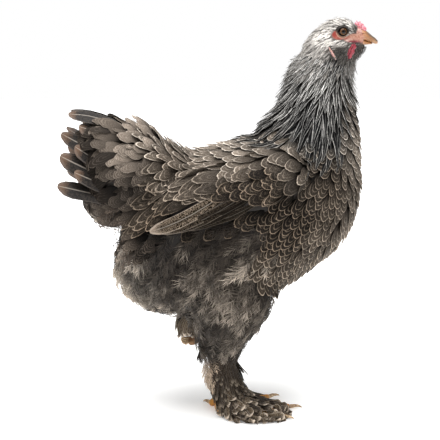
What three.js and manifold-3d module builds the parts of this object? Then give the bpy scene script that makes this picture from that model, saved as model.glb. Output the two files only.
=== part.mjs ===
// A Dark Brahma hen, life size, standing on her right foot with the left one lifted and curled.
// Millimetres, +Z up. She faces +X and her left side is +Y. The origin is on the floor, under the
// middle of her bounding box. Each solid is the outer shape of the coat or of the bare part.
import * as THREE from 'three';
import { mergeVertices } from 'three/addons/utils/BufferGeometryUtils.js';
import Module from 'manifold-3d';

const wasm = await Module();
wasm.setup();

// ---- driving dimensions ----
const GAP = 0.3;               // clearance between neighbouring solids
const SEGMENTS = 20;           // facets round a large loft
const BODY_HALF_WIDTH = 106;   // widest half width of the trunk, without the wings
const WING_REACH = 101;        // from the mid-plane to the middle of the folded wing
const WING_LEAN = 24;          // degrees by which the top of the folded wing leans inward
const HIP_SPREAD = 48;         // from the mid-plane to the middle of each thigh
const FOOT_Y = 0;              // the standing foot is under the body's own weight
const TOE_RADIUS = 5.6;        // half the thickness of a toe
const TOE_SOLE = 0;            // height of the flats that stand on the floor
const CLAW_CLEARANCE = 1.7;    // from the end of a toe to the root of its claw
const COAT_HEM = 1.6;          // the foot feathers end this far above the floor
const VANE_THICKNESS = 2.6;    // tail feathers
const EYE_RADIUS = 7;
const LIFTED_Y = 40;           // middle of the lifted foot

// ---- shape helpers ----

// Catmull-Rom blend of one number through a list of stations, at position t from 0 to 1.
function blend(stations, key, t) {
  const last = stations.length - 1;
  const place = Math.min(t * last, last - 1e-9);
  const i = Math.floor(place);
  const f = place - i;
  const at = (k) => stations[Math.max(0, Math.min(last, k))][key];
  const [a, b, c, d] = [at(i - 1), at(i), at(i + 1), at(i + 2)];
  const slopeIn = (c - a) / 2;
  const slopeOut = (d - b) / 2;
  const f2 = f * f;
  const f3 = f2 * f;
  return b * (2 * f3 - 3 * f2 + 1) + slopeIn * (f3 - 2 * f2 + f)
    + c * (3 * f2 - 2 * f3) + slopeOut * (f3 - f2);
}

// Closed skin over a list of rings, each an array of Vector3, with a fan at both ends.
function skinRings(rings) {
  const around = rings[0].length;
  const middle = (ring) => {
    const sum = new THREE.Vector3();
    for (const point of ring) sum.add(point);
    return sum.divideScalar(around);
  };
  const points = [...rings.flat(), middle(rings[0]), middle(rings[rings.length - 1])];
  const firstPole = rings.length * around;
  const index = [];
  for (let r = 0; r < rings.length; r++) {
    for (let s = 0; s < around; s++) {
      const next = (s + 1) % around;
      const a = r * around + s;
      const b = r * around + next;
      if (r === 0) index.push(firstPole, b, a);
      if (r === rings.length - 1) index.push(firstPole + 1, a, b);
      else index.push(a, b, a + around, b, b + around, a + around);
    }
  }
  const geometry = new THREE.BufferGeometry().setFromPoints(points);
  geometry.setIndex(index);
  return geometry;
}

function toSolid(geometry) {
  const bare = geometry.clone();
  bare.deleteAttribute('normal');
  bare.deleteAttribute('uv');
  const merged = mergeVertices(bare, 1e-4);
  const mesh = new wasm.Mesh({
    numProp: 3,
    vertProperties: Float32Array.from(merged.attributes.position.array),
    triVerts: Uint32Array.from(merged.index.array),
  });
  const solid = new wasm.Manifold(mesh);
  return solid.volume() < 0 ? toSolid(flipFaces(merged)) : solid;
}

function flipFaces(geometry) {
  const flipped = geometry.clone();
  flipped.setIndex(Array.from(geometry.index.array).reverse());
  return flipped;
}

function toGeometry(solid) {
  const mesh = solid.getMesh();
  const places = Float32Array.from(mesh.vertProperties);
  const geometry = new THREE.BufferGeometry();
  geometry.setAttribute('position', new THREE.BufferAttribute(places, 3));
  geometry.setIndex(Array.from(mesh.triVerts));
  return geometry;
}

const signedPower = (value, power) => Math.sign(value) * Math.abs(value) ** power;

// Lengthwise loft: upright rings along X. Stations hold x, top, bottom, half, and optionally the
// height of the widest point as a share of the ring (wide) and a sideways shift (y).
function lengthwise(stations, { along = 20, around = SEGMENTS, square = 0.92, grow = 0 } = {}) {
  const rings = [];
  for (let r = 0; r <= along; r++) {
    const value = (key) => blend(stations, key, r / along);
    const [x, top, bottom, half] = ['x', 'top', 'bottom', 'half'].map(value);
    const y = 'y' in stations[0] ? value('y') : 0;
    const wide = bottom + (top - bottom) * ('wide' in stations[0] ? value('wide') : 0.5);
    const end = r === 0 ? -1 : r === along ? 1 : 0;
    const outward = end * grow * Math.sign(stations[stations.length - 1].x - stations[0].x);
    const ring = [];
    for (let s = 0; s < around; s++) {
      const angle = (s / around) * 2 * Math.PI;
      const up = signedPower(Math.sin(angle), square);
      const sideways = signedPower(Math.cos(angle), square) * (half + grow);
      const rise = up > 0 ? top - wide + grow : wide - bottom + grow;
      ring.push(new THREE.Vector3(x + outward, y + sideways, wide + up * rise));
    }
    rings.push(ring);
  }
  return toSolid(skinRings(rings));
}

// Upright loft: level rings along Z. Stations hold z, back, front, half and the sideways place y.
function upright(stations, { along = 10, around = SEGMENTS, square = 0.95, grow = 0 } = {}) {
  const rings = [];
  for (let r = 0; r <= along; r++) {
    const value = (key) => blend(stations, key, r / along);
    const [z, back, front, half] = ['z', 'back', 'front', 'half'].map(value);
    const y = 'y' in stations[0] ? value('y') : 0;
    const end = r === 0 ? -1 : r === along ? 1 : 0;
    const outward = end * grow * Math.sign(stations[stations.length - 1].z - stations[0].z);
    const ring = [];
    for (let s = 0; s < around; s++) {
      const angle = (s / around) * 2 * Math.PI;
      const ahead = signedPower(Math.cos(angle), square) * ((front - back) / 2 + grow);
      const sideways = signedPower(Math.sin(angle), square) * (half + grow);
      ring.push(new THREE.Vector3((front + back) / 2 + ahead, y + sideways, z + outward));
    }
    rings.push(ring);
  }
  return toSolid(skinRings(rings));
}

// Round or flat bar along a path of stations { x, y, z, wide, thick }. side is the direction of its
// width; floor stops the bar from going lower than its sole.
function bar(stations, { side, along = 8, around = 10, grow = 0, floor = -Infinity }) {
  const across = side.clone().normalize();
  const rings = [];
  for (let r = 0; r <= along; r++) {
    const t = r / along;
    const spot = (u) => new THREE.Vector3(...['x', 'y', 'z'].map((key) => blend(stations, key, u)));
    const ahead = spot(Math.min(1, t + 0.02)).sub(spot(Math.max(0, t - 0.02))).normalize();
    const lateral = across.clone().addScaledVector(ahead, -across.dot(ahead)).normalize();
    const normal = new THREE.Vector3().crossVectors(ahead, lateral);
    const wide = blend(stations, 'wide', t) + grow;
    const thick = blend(stations, 'thick', t) + grow;
    const end = r === 0 ? -grow : r === along ? grow : 0;
    const ring = [];
    for (let s = 0; s < around; s++) {
      const angle = (s / around) * 2 * Math.PI;
      const point = spot(t).addScaledVector(ahead, end)
        .addScaledVector(lateral, Math.cos(angle) * wide)
        .addScaledVector(normal, Math.sin(angle) * thick);
      point.z = Math.max(point.z, floor);
      ring.push(point);
    }
    rings.push(ring);
  }
  return toSolid(skinRings(rings));
}

// Ellipsoid with its long axis tipped in the XZ plane by lean degrees.
function ellipsoid(centre, radii, { grow = 0, detail = 8, lean = 0 } = {}) {
  const geometry = new THREE.SphereGeometry(1, detail * 2, detail);
  geometry.scale(radii[0] + grow, radii[1] + grow, radii[2] + grow);
  geometry.rotateY(THREE.MathUtils.degToRad(lean));
  geometry.translate(...centre);
  return toSolid(geometry);
}

// Divides a solid at a plane. Returns [the part on the side the plane faces, the other part].
function divide(solid, { through, facing }) {
  const size = 1200;   // larger than the whole bird
  const direction = new THREE.Vector3(...facing).normalize();
  const turn = new THREE.Quaternion().setFromUnitVectors(new THREE.Vector3(0, 0, 1), direction);
  const halfSpace = (sign) => {
    const box = new THREE.BoxGeometry(size, size, size);
    box.translate(0, 0, sign * (size / 2 + GAP / 2));
    box.applyQuaternion(turn);
    box.translate(...through);
    return toSolid(box);
  };
  return [solid.intersect(halfSpace(1)), solid.intersect(halfSpace(-1))];
}

// Builds the same shape for the right side (side = -1) and the left side (side = 1).
const bothSides = (build) => ({ r: build(-1), l: build(1) });

// ---- coat of the body ----

function trunkForm() {
  const w = BODY_HALF_WIDTH;
  return lengthwise([
    { x: -137, top: 214, bottom: 188, half: 0.12 * w, wide: 0.5 },
    { x: -130, top: 258, bottom: 170, half: 0.48 * w, wide: 0.48 },
    { x: -110, top: 308, bottom: 152, half: 0.74 * w, wide: 0.46 },
    { x: -75, top: 342, bottom: 134, half: 0.9 * w, wide: 0.46 },
    { x: -30, top: 351, bottom: 128, half: 0.98 * w, wide: 0.5 },
    { x: 15, top: 364, bottom: 134, half: w, wide: 0.54 },
    { x: 55, top: 375, bottom: 150, half: w, wide: 0.56 },
    { x: 95, top: 380, bottom: 176, half: 0.96 * w, wide: 0.56 },
    { x: 130, top: 376, bottom: 202, half: 0.84 * w, wide: 0.54 },
    { x: 158, top: 364, bottom: 226, half: 0.65 * w, wide: 0.52 },
    { x: 176, top: 346, bottom: 262, half: 0.4 * w, wide: 0.52 },
    { x: 184, top: 328, bottom: 300, half: 0.12 * w, wide: 0.5 },
  ], { along: 14, around: SEGMENTS });
}

function neckForm() {
  return upright([
    { z: 488, back: 118, front: 152, half: 16 },
    { z: 472, back: 97, front: 176, half: 24 },
    { z: 452, back: 85, front: 171, half: 31 },
    { z: 431, back: 77, front: 172, half: 37 },
    { z: 411, back: 71, front: 175, half: 45 },
    { z: 394, back: 60, front: 177.5, half: 55 },
    { z: 374, back: 42, front: 181, half: 66 },
    { z: 350, back: 46, front: 184, half: 76 },
    { z: 322, back: 60, front: 182, half: 80 },
  ], { along: 10 });
}

function headForm() {
  return lengthwise([
    { x: 104, top: 485, bottom: 466, half: 7 },
    { x: 110, top: 494, bottom: 458, half: 15 },
    { x: 123, top: 507, bottom: 456, half: 20 },
    { x: 137, top: 517, bottom: 459, half: 22 },
    { x: 150, top: 519.5, bottom: 464, half: 21.5 },
    { x: 162, top: 517.5, bottom: 470, half: 19.5 },
    { x: 172, top: 512.5, bottom: 477, half: 15 },
    { x: 179, top: 506, bottom: 483, half: 10 },
    { x: 182, top: 501, bottom: 487, half: 6 },
  ], { along: 10, around: 14 });
}

// The feathered chin fills the angle between the lower beak and the throat.
function chinForm() {
  return lengthwise([
    { x: 156, top: 482, bottom: 462, half: 15 },
    { x: 168, top: 486, bottom: 460, half: 13 },
    { x: 176, top: 486.5, bottom: 466, half: 10 },
    { x: 183, top: 486.5, bottom: 475, half: 6 },
    { x: 187.5, top: 485.4, bottom: 482.4, half: 2 },
  ], { along: 4, around: 10 });
}

// The cushion of saddle feathers and tail coverts that hides the roots of the tail.
function cushionForm(grow = 0) {
  return lengthwise([
    { x: -40, top: 352, bottom: 300, half: 58 },
    { x: -66, top: 364, bottom: 282, half: 72 },
    { x: -88, top: 381, bottom: 262, half: 76 },
    { x: -110, top: 387, bottom: 247, half: 74 },
    { x: -131, top: 391, bottom: 240, half: 67 },
    { x: -149, top: 394, bottom: 247, half: 56 },
    { x: -164, top: 391, bottom: 262, half: 42 },
    { x: -174, top: 378, bottom: 286, half: 22 },
  ], { along: 8, around: 15, grow });
}

function standingThigh(grow) {
  return upright([
    { z: 214, back: -14, front: 50, half: 22, y: -HIP_SPREAD },
    { z: 192, back: -36, front: 74, half: 42, y: -HIP_SPREAD },
    { z: 166, back: -46, front: 79, half: 48, y: -45 },
    { z: 146, back: -45, front: 67, half: 45, y: -40 },
    { z: 125, back: -40, front: 54, half: 39, y: -33 },
    { z: 107, back: -34, front: 44, half: 33, y: -26 },
    { z: 94, back: -30, front: 31, half: 28, y: -21 },
    { z: 80, back: -28, front: 26, half: 24, y: -17 },
  ], { along: 8, around: 16, grow });
}

function liftedThigh(grow) {
  return upright([
    { z: 214, back: -14, front: 50, half: 22, y: HIP_SPREAD },
    { z: 192, back: -40, front: 72, half: 42, y: HIP_SPREAD },
    { z: 168, back: -56, front: 66, half: 46, y: HIP_SPREAD },
    { z: 148, back: -62, front: 44, half: 40, y: 46 },
    { z: 132, back: -60, front: 16, half: 31, y: 43 },
    { z: 122, back: -54, front: -4, half: 20, y: LIFTED_Y },
  ], { along: 7, around: 16, grow });
}

// Folded wing: a thick curved pad that hugs the flank, tipped so that its top leans inward.
function wing(side, grow) {
  const pad = [
    { x: 110, y: 0.83, z: 340, wide: 8, thick: 4 },
    { x: 100, y: 0.9, z: 340, wide: 24, thick: 9 },
    { x: 76, y: 0.97, z: 337, wide: 36, thick: 12.5 },
    { x: 42, y: 1, z: 325, wide: 37, thick: 13.5 },
    { x: 4, y: 1, z: 314, wide: 37, thick: 13 },
    { x: -34, y: 0.97, z: 302, wide: 35, thick: 11 },
    { x: -66, y: 0.89, z: 286, wide: 29, thick: 8 },
    { x: -88, y: 0.79, z: 266, wide: 16, thick: 5 },
    { x: -100, y: 0.73, z: 256, wide: 5, thick: 2.5 },
  ].map((station) => ({ ...station, y: side * WING_REACH * station.y }));
  const lean = THREE.MathUtils.degToRad(WING_LEAN);
  const upAndIn = new THREE.Vector3(0, -side * Math.sin(lean), Math.cos(lean));
  return bar(pad, { side: upAndIn, along: 10, around: 10, grow });
}

// ---- tail ----

// The main tail feathers of one side, from the top of the tent to its lower edge: the root and the
// tip of the quill, how far it bows upward, and how far the vane leans out from upright.
const TAIL_VANES = [
  { root: { x: -112, y: 16, z: 370 }, tip: { x: -192, y: 17, z: 398 }, rise: 8, lean: 60 },
  { root: { x: -108, y: 22, z: 318 }, tip: { x: -201, y: 31, z: 372 }, rise: -4, lean: 58 },
  { root: { x: -104, y: 26, z: 306 }, tip: { x: -201, y: 45, z: 348 }, rise: -3, lean: 56 },
  { root: { x: -100, y: 30, z: 292 }, tip: { x: -205, y: 57, z: 311 }, rise: 0, lean: 54 },
];
const VANE_HALF_WIDTH = 17;

function tailFeather({ root, tip, rise, lean }, side) {
  const shares = [
    { t: 0.35, wide: 0.6 },
    { t: 0.6, wide: 0.85 },
    { t: 0.8, wide: 1 },
    { t: 0.93, wide: 0.82 },
    { t: 0.985, wide: 0.45 },
    { t: 1, wide: 0.18 },
  ];
  const stations = shares.map(({ t, wide }) => ({
    x: THREE.MathUtils.lerp(root.x, tip.x, t),
    y: side * THREE.MathUtils.lerp(root.y, tip.y, t),
    z: THREE.MathUtils.lerp(root.z, tip.z, t) + rise * Math.sin(Math.PI * t),
    wide: VANE_HALF_WIDTH * wide,
    thick: VANE_THICKNESS / 2,
  }));
  const tilt = THREE.MathUtils.degToRad(lean);
  const vaneUp = new THREE.Vector3(0, -side * Math.sin(tilt), Math.cos(tilt));
  return bar(stations, { side: vaneUp, along: 7, around: 6 });
}

// ---- bare parts of the head ----

const FACE = {
  eye: { x: 154, y: 13.2, z: 502.5 },
  wattle: { x: 164.8, y: 12, z: 476.5 },
  earlobe: { x: 141.6, y: 19, z: 474.6 },
};

const upperBeak = (grow) => lengthwise([
  { x: 172, top: 505.5, bottom: 493, half: 7 },
  { x: 179, top: 505, bottom: 491.6, half: 6.6 },
  { x: 184.5, top: 503.2, bottom: 490, half: 5.6 },
  { x: 189, top: 498.8, bottom: 488.6, half: 4.6 },
  { x: 194, top: 495.4, bottom: 487.2, half: 3.5 },
  { x: 198, top: 492.2, bottom: 486.1, half: 2.2 },
  { x: 199.8, top: 490, bottom: 486.3, half: 1.2 },
], { along: 5, around: 8, grow });

const lowerBeak = (grow) => lengthwise([
  { x: 172, top: 492.4, bottom: 485.2, half: 5.8 },
  { x: 179, top: 491, bottom: 485, half: 5.2 },
  { x: 184.5, top: 489.4, bottom: 485.2, half: 4.4 },
  { x: 189, top: 488, bottom: 485.6, half: 3.2 },
  { x: 193, top: 486.8, bottom: 486, half: 1.4 },
], { along: 4, around: 8, grow });

// The pea comb is low and long, set on the forehead just behind the beak.
const combForm = (grow) => lengthwise([
  { x: 170.5, top: 513, bottom: 508, half: 2 },
  { x: 173, top: 515.4, bottom: 505, half: 4.2 },
  { x: 177.5, top: 514.4, bottom: 502, half: 5 },
  { x: 182, top: 510.4, bottom: 500.8, half: 4.6 },
  { x: 185.5, top: 505.8, bottom: 501, half: 2.4 },
], { along: 4, around: 8, grow });

const FACE_RADII = {
  eye: [EYE_RADIUS, EYE_RADIUS, EYE_RADIUS],
  wattle: [4.2, 2.6, 12.8],
  earlobe: [3.2, 2.6, 11.6],
};
const FACE_LEAN = { eye: 0, wattle: 25, earlobe: -32 };
const FACE_DETAIL = { eye: 5, wattle: 4, earlobe: 4 };

function facePart(name, side, grow) {
  const { x, y, z } = FACE[name];
  const shape = { grow, detail: FACE_DETAIL[name], lean: FACE_LEAN[name] };
  return ellipsoid([x, side * y, z], FACE_RADII[name], shape);
}

const eyeball = (side, grow) => facePart('eye', side, grow);
const wattle = (side, grow) => facePart('wattle', side, grow);
const earlobe = (side, grow) => facePart('earlobe', side, grow);

// ---- legs and feet ----

function standingShank() {
  return upright([
    { z: 79.5, back: -27, front: 25, half: 22, y: -16 },
    { z: 68, back: -25, front: 25, half: 19, y: -13 },
    { z: 57, back: -24, front: 29, half: 19, y: -10 },
    { z: 46, back: -23, front: 33, half: 20, y: -8 },
    { z: 38, back: -21, front: 36.5, half: 22, y: -8 },
  ], { along: 4, around: 14 });
}

// The slipper: foot feathers that fan outward over the outer and the middle toe.
function standingSlipper() {
  return upright([
    { z: 37.5, back: -20.5, front: 36.5, half: 22, y: -8 },
    { z: 28, back: -12, front: 43, half: 25, y: -12 },
    { z: 20, back: -4, front: 56, half: 29, y: -17 },
    { z: 13, back: -2, front: 78, half: 33, y: -22 },
    { z: 7, back: 0, front: 91, half: 35, y: -25 },
    { z: 3.5, back: 1, front: 92, half: 35, y: -26 },
    { z: COAT_HEM, back: 3, front: 88, half: 32, y: -25 },
  ], { along: 5, around: 14 });
}

// How high the middle line of a toe runs, from its root to its claw. The hind toe slopes steeply.
const TOE_HEIGHTS = [9, 4.8, 3.7, 3.6, 3];
const HIND_TOE_HEIGHTS = [18, 13, 8.5, 4.6, 3];

// Where the toes of the standing foot run on the floor: root, middle and the base of the claw.
const STANDING_TOES = {
  inner: { root: [18, 9], middle: [42, 27], base: [66, 42], claw: [82, 52] },
  middle: { root: [18, -1.5], middle: [54, -1], base: [93, 0.5], claw: [110, 1.5] },
  outer: { root: [16, -12], middle: [46, -26], base: [80, -38], claw: [97, -45] },
  hind: {
    root: [4, 5],
    middle: [-6, 11],
    base: [-13.5, 17.5],
    claw: [-23, 27],
    heights: HIND_TOE_HEIGHTS,
  },
};

function toeOnFloor({ root, middle, base, heights = TOE_HEIGHTS }, grow) {
  const ahead = new THREE.Vector3(base[0] - root[0], base[1] - root[1], 0).normalize();
  const across = new THREE.Vector3(-ahead.y, ahead.x, 0);
  const halfway = (a, b) => ({ x: (a[0] + b[0]) / 2, y: FOOT_Y + (a[1] + b[1]) / 2 });
  const r = TOE_RADIUS;
  return bar([
    { ...halfway(root, root), z: heights[0], wide: 0.85 * r, thick: r },
    { ...halfway(root, middle), z: heights[1], wide: r, thick: 1.25 * r },
    { ...halfway(middle, middle), z: heights[2], wide: r, thick: r },
    { ...halfway(base, middle), z: heights[3], wide: 0.92 * r, thick: r },
    { ...halfway(base, base), z: heights[4], wide: 0.62 * r, thick: 0.8 * r },
  ], { side: across, along: 5, around: 8, grow, floor: TOE_SOLE - grow });
}

// The pad under the joint where the toes meet.
const footPad = (grow) => upright([
  { z: TOE_SOLE, back: -6, front: 16, half: 11.5, y: FOOT_Y - 4 },
  { z: 3, back: -7.5, front: 17, half: 13, y: FOOT_Y - 4 },
  { z: 9, back: -7, front: 17, half: 12.5, y: FOOT_Y - 4 },
  { z: 13, back: -4, front: 15, half: 10, y: FOOT_Y - 4 },
], { along: 4, around: 12, grow });

function clawOnFloor({ base, claw }, grow) {
  const across = new THREE.Vector3(-(claw[1] - base[1]), claw[0] - base[0], 0).normalize();
  const start = CLAW_CLEARANCE / Math.hypot(claw[0] - base[0], claw[1] - base[1]);
  const place = (t) => ({
    x: THREE.MathUtils.lerp(base[0], claw[0], t),
    y: FOOT_Y + THREE.MathUtils.lerp(base[1], claw[1], t),
  });
  return bar([
    { ...place(start), z: 3.8, wide: 2.9, thick: 3.1 },
    { ...place(0.5), z: 4.8, wide: 2.3, thick: 2.4 },
    { ...place(0.85), z: 3.4, wide: 1.2, thick: 1.3 },
    { ...place(1), z: 1.6, wide: 0.5, thick: 0.6 },
  ], { side: across, along: 4, around: 6, grow, floor: TOE_SOLE - grow });
}

// The lifted toes curl into a loose fist: down, back and up again. Places are [x, z], and each toe
// has its own width across the fist.
const FIST = [[-30, 116.5], [-25, 100], [-32, 86], [-43, 83]];
const FIST_THICKNESS = [5.2, 5, 4.8, 3.8];
const FIST_CLAW = [[-44.6, 82.9], [-50, 84.5], [-53, 90]];
const LIFTED_TOES = { inner: -11, middle: 0, outer: 11 };
const LIFTED_HIND = [[-45, 113], [-50, 105]];
const HIND_THICKNESS = [4.8, 3.6];
const LIFTED_HIND_CLAW = [[-51, 103.4], [-55, 99], [-57, 93.5]];
const CLAW_THICKNESS = [2.8, 2.1, 0.6];

function curledBar(path, y, thicknesses) {
  const stations = path.map(([x, z], i) => {
    const radius = thicknesses[i];
    return { x, y, z, wide: radius, thick: radius };
  });
  return bar(stations, { side: new THREE.Vector3(0, 1, 0), along: path.length + 1, around: 7 });
}

function liftedShank() {
  return upright([
    { z: 150, back: -60, front: -18, half: 14, y: LIFTED_Y },
    { z: 135, back: -57, front: -20, half: 16, y: LIFTED_Y },
    { z: 122.5, back: -53, front: -21, half: 17, y: LIFTED_Y },
    { z: 119, back: -49, front: -23, half: 15, y: LIFTED_Y },
  ], { along: 4, around: 12 });
}

// The lifted foot's feathers hang down its outer side.
function liftedSlipper() {
  return upright([
    { z: 148, back: -50, front: -22, half: 2.5, y: LIFTED_Y + 26 },
    { z: 130, back: -56, front: -16, half: 4.5, y: LIFTED_Y + 26 },
    { z: 108, back: -58, front: -14, half: 5, y: LIFTED_Y + 25 },
    { z: 92, back: -54, front: -20, half: 3.5, y: LIFTED_Y + 24 },
    { z: 84, back: -46, front: -28, half: 1.5, y: LIFTED_Y + 23 },
  ], { along: 5, around: 10 }).subtract(liftedThigh(GAP));
}

// ---- assembly ----

const eyes = bothSides((side) => eyeball(side, 0));
const wattles = bothSides((side) => wattle(side, 0));
const earlobes = bothSides((side) => earlobe(side, 0));

let flesh = trunkForm().add(neckForm()).add(headForm()).add(chinForm()).add(cushionForm());
for (const side of [-1, 1]) {
  for (const cutter of [wing, eyeball, wattle, earlobe]) flesh = flesh.subtract(cutter(side, GAP));
}
for (const cutter of [upperBeak, lowerBeak, combForm, standingThigh, liftedThigh]) {
  flesh = flesh.subtract(cutter(GAP));
}

// The one body is parted where the coat changes: each plane passes through a point and faces the
// part that is named first.
const PARTINGS = {
  head: { through: [135, 0, 472], facing: [0.28, 0, 1] },
  neck: { through: [112, 0, 374], facing: [0.34, 0, 1] },
  breast: { through: [74, 0, 260], facing: [1, 0, -0.22] },
  rump: { through: [-62, 0, 330], facing: [-1, 0, 0.1] },
  back: { through: [0, 0, 236], facing: [0, 0, 1] },
  upperRump: { through: [-100, 0, 244], facing: [0.12, 0, 1] },
  cushion: { through: [-120, 0, 300], facing: [0.1, 0, 1] },
  wing: { through: [-8, 0, 310], facing: [1, 0, -0.5] },
};
const [head, belowHead] = divide(flesh, PARTINGS.head);
const [neck, torso] = divide(belowHead, PARTINGS.neck);
const [breast, behindBreast] = divide(torso, PARTINGS.breast);
const [rump, midBody] = divide(behindBreast, PARTINGS.rump);
const [back, belly] = divide(midBody, PARTINGS.back);
const [upperRump, fluff] = divide(rump, PARTINGS.upperRump);
const [cushion, undertail] = divide(upperRump, PARTINGS.cushion);

let pad = footPad(0);
let slipper = standingSlipper().subtract(footPad(GAP));
for (const run of Object.values(STANDING_TOES)) {
  pad = pad.subtract(toeOnFloor(run, GAP));
  slipper = slipper.subtract(toeOnFloor(run, GAP)).subtract(clawOnFloor(run, GAP));
}

function coat(colour, roughness = 0.85) {
  return { color: colour, roughness, metalness: 0 };
}

const LOOK = {
  silver: coat(0x9a9893),
  pencilled: coat(0x5d5349),
  saddle: coat(0x7a6e65),
  fluff: coat(0x5b524b),
  quill: coat(0x3a3836, 0.6),
  shank: coat(0x5a5046),
  bareSkin: coat(0xb9857c, 0.55),
  comb: coat(0xc98a8b, 0.5),
  lobe: coat(0x7a4a4a, 0.5),
  horn: coat(0xb48e62, 0.4),
  claw: coat(0xb9a287, 0.35),
  eye: coat(0x4a2c1a, 0.1),
};

const bird = new THREE.Group();

function addNode(name, solid, look) {
  const geometry = solid.isBufferGeometry ? solid : toGeometry(solid);
  const flat = geometry.toNonIndexed();
  flat.computeVertexNormals();
  const mesh = new THREE.Mesh(flat, new THREE.MeshStandardMaterial(look));
  mesh.name = name;
  bird.add(mesh);
}

// Cutting can leave crumbs at a thin edge: only the largest piece is the sub-part.
function largest(solid) {
  return solid.decompose().reduce((best, piece) => (piece.volume() > best.volume() ? piece : best));
}

addNode('head', largest(head), LOOK.silver);
addNode('neck', largest(neck), LOOK.silver);
addNode('breast', largest(breast), LOOK.pencilled);
addNode('back', largest(back), LOOK.pencilled);
addNode('belly', largest(belly), LOOK.fluff);
addNode('fluff', largest(fluff), LOOK.fluff);
addNode('cushion', largest(cushion), LOOK.saddle);
addNode('undertail', largest(undertail), LOOK.pencilled);
addNode('beak_upper', upperBeak(0), LOOK.horn);
addNode('beak_lower', lowerBeak(0), LOOK.horn);
addNode('comb', combForm(0).subtract(upperBeak(GAP)), LOOK.comb);
for (const side of ['r', 'l']) {
  addNode(`eye_${side}`, eyes[side], LOOK.eye);
  addNode(`wattle_${side}`, wattles[side].subtract(lowerBeak(GAP)), LOOK.lobe);
  addNode(`earlobe_${side}`, earlobes[side], LOOK.lobe);
}

for (const side of [-1, 1]) {
  const letter = side < 0 ? 'r' : 'l';
  const [coverts, flights] = divide(wing(side, 0), PARTINGS.wing);
  addNode(`wing_${letter}`, coverts, LOOK.pencilled);
  addNode(`wing_flights_${letter}`, flights, LOOK.quill);
  TAIL_VANES.forEach((feather, order) => {
    const vane = tailFeather(feather, side).subtract(cushionForm(GAP));
    addNode(`tail_feather_${letter}${order + 1}`, largest(vane), LOOK.quill);
  });
}

addNode('thigh_r', standingThigh(0), LOOK.fluff);
addNode('thigh_l', liftedThigh(0).subtract(standingThigh(GAP)), LOOK.fluff);
addNode('shank_r', standingShank(), LOOK.shank);
addNode('shank_l', liftedShank().subtract(liftedThigh(GAP)), LOOK.shank);
addNode('slipper_r', largest(slipper), LOOK.shank);
addNode('slipper_l', liftedSlipper(), LOOK.shank);
addNode('foot_pad_r', largest(pad), LOOK.horn);

// Where the roots of two toes meet, the toe that comes later in this order gives way.
const TOE_ORDER = ['middle', 'inner', 'outer', 'hind'];
TOE_ORDER.forEach((name, order) => {
  let toe = toeOnFloor(STANDING_TOES[name], 0);
  for (const earlier of TOE_ORDER.slice(0, order)) {
    toe = toe.subtract(toeOnFloor(STANDING_TOES[earlier], GAP));
  }
  addNode(`toe_${name}_r`, largest(toe), LOOK.horn);
  addNode(`claw_${name}_r`, clawOnFloor(STANDING_TOES[name], 0), LOOK.claw);
});
for (const [name, shift] of Object.entries(LIFTED_TOES)) {
  addNode(`toe_${name}_l`, curledBar(FIST, LIFTED_Y + shift, FIST_THICKNESS), LOOK.horn);
  addNode(`claw_${name}_l`, curledBar(FIST_CLAW, LIFTED_Y + shift, CLAW_THICKNESS), LOOK.claw);
}
addNode('toe_hind_l', curledBar(LIFTED_HIND, LIFTED_Y, HIND_THICKNESS), LOOK.horn);
addNode('claw_hind_l', curledBar(LIFTED_HIND_CLAW, LIFTED_Y, CLAW_THICKNESS), LOOK.claw);

// Origin: on the floor under the middle of the bounding box.
const bounds = new THREE.Box3().setFromObject(bird);
const centre = bounds.getCenter(new THREE.Vector3());
bird.position.set(-centre.x, -centre.y, -bounds.min.z);

export default bird;
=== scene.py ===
"""A hen with feathered feet, standing on one leg: skin, eyes, comb, bill, claws and coat."""
import math
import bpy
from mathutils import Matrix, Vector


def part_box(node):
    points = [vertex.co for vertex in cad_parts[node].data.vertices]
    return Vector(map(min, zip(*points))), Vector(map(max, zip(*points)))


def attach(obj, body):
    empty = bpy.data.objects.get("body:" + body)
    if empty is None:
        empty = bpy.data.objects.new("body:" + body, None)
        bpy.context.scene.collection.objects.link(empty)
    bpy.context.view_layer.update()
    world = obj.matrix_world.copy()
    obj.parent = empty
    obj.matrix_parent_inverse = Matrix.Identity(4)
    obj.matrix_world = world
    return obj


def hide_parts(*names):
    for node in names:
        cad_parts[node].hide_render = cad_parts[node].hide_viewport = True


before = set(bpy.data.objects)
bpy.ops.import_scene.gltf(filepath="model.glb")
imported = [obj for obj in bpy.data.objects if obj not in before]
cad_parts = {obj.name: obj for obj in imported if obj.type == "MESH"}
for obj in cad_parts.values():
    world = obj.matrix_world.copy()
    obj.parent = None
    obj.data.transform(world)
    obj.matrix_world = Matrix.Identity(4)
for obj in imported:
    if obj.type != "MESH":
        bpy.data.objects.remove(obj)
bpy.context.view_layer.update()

from types import SimpleNamespace

import bmesh
import bpy
import numpy as np
from mathutils import Vector
from mathutils.bvhtree import BVHTree

# ---------------------------------------------------------------- floor, light and camera
# A sheet of matt white paper runs under the bird and far behind it. It has a painted glow
# of its own, faint under the bird and full far away, which melts it into the white
# background and pales the bird's shadow. Large soft boxes light the bird, most of all from above.

MM = 0.001


def linear(colour):
    """The linear RGBA of an sRGB hex colour."""
    parts = [int(colour[i:i + 2], 16) / 255 for i in (1, 3, 5)]
    return [((c + 0.055) / 1.055) ** 2.4 if c > 0.04045 else c / 12.92 for c in parts] + [1.0]


def feed(tree, node, inputs):
    """Feeds a node's inputs, by name or in their order. Each is a value, a hex colour, a socket,
    or another node, whose first live output is meant."""
    live = [socket for socket in node.inputs if socket.enabled]
    pairs = inputs.items() if isinstance(inputs, dict) else enumerate(inputs)
    for name, value in pairs:
        socket = live[name] if isinstance(name, int) else node.inputs[name]
        if isinstance(value, bpy.types.Node):
            value = next(output for output in value.outputs if output.enabled)
        if isinstance(value, bpy.types.NodeSocket):
            tree.links.new(value, socket)
        else:
            socket.default_value = linear(value) if isinstance(value, str) else value


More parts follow.
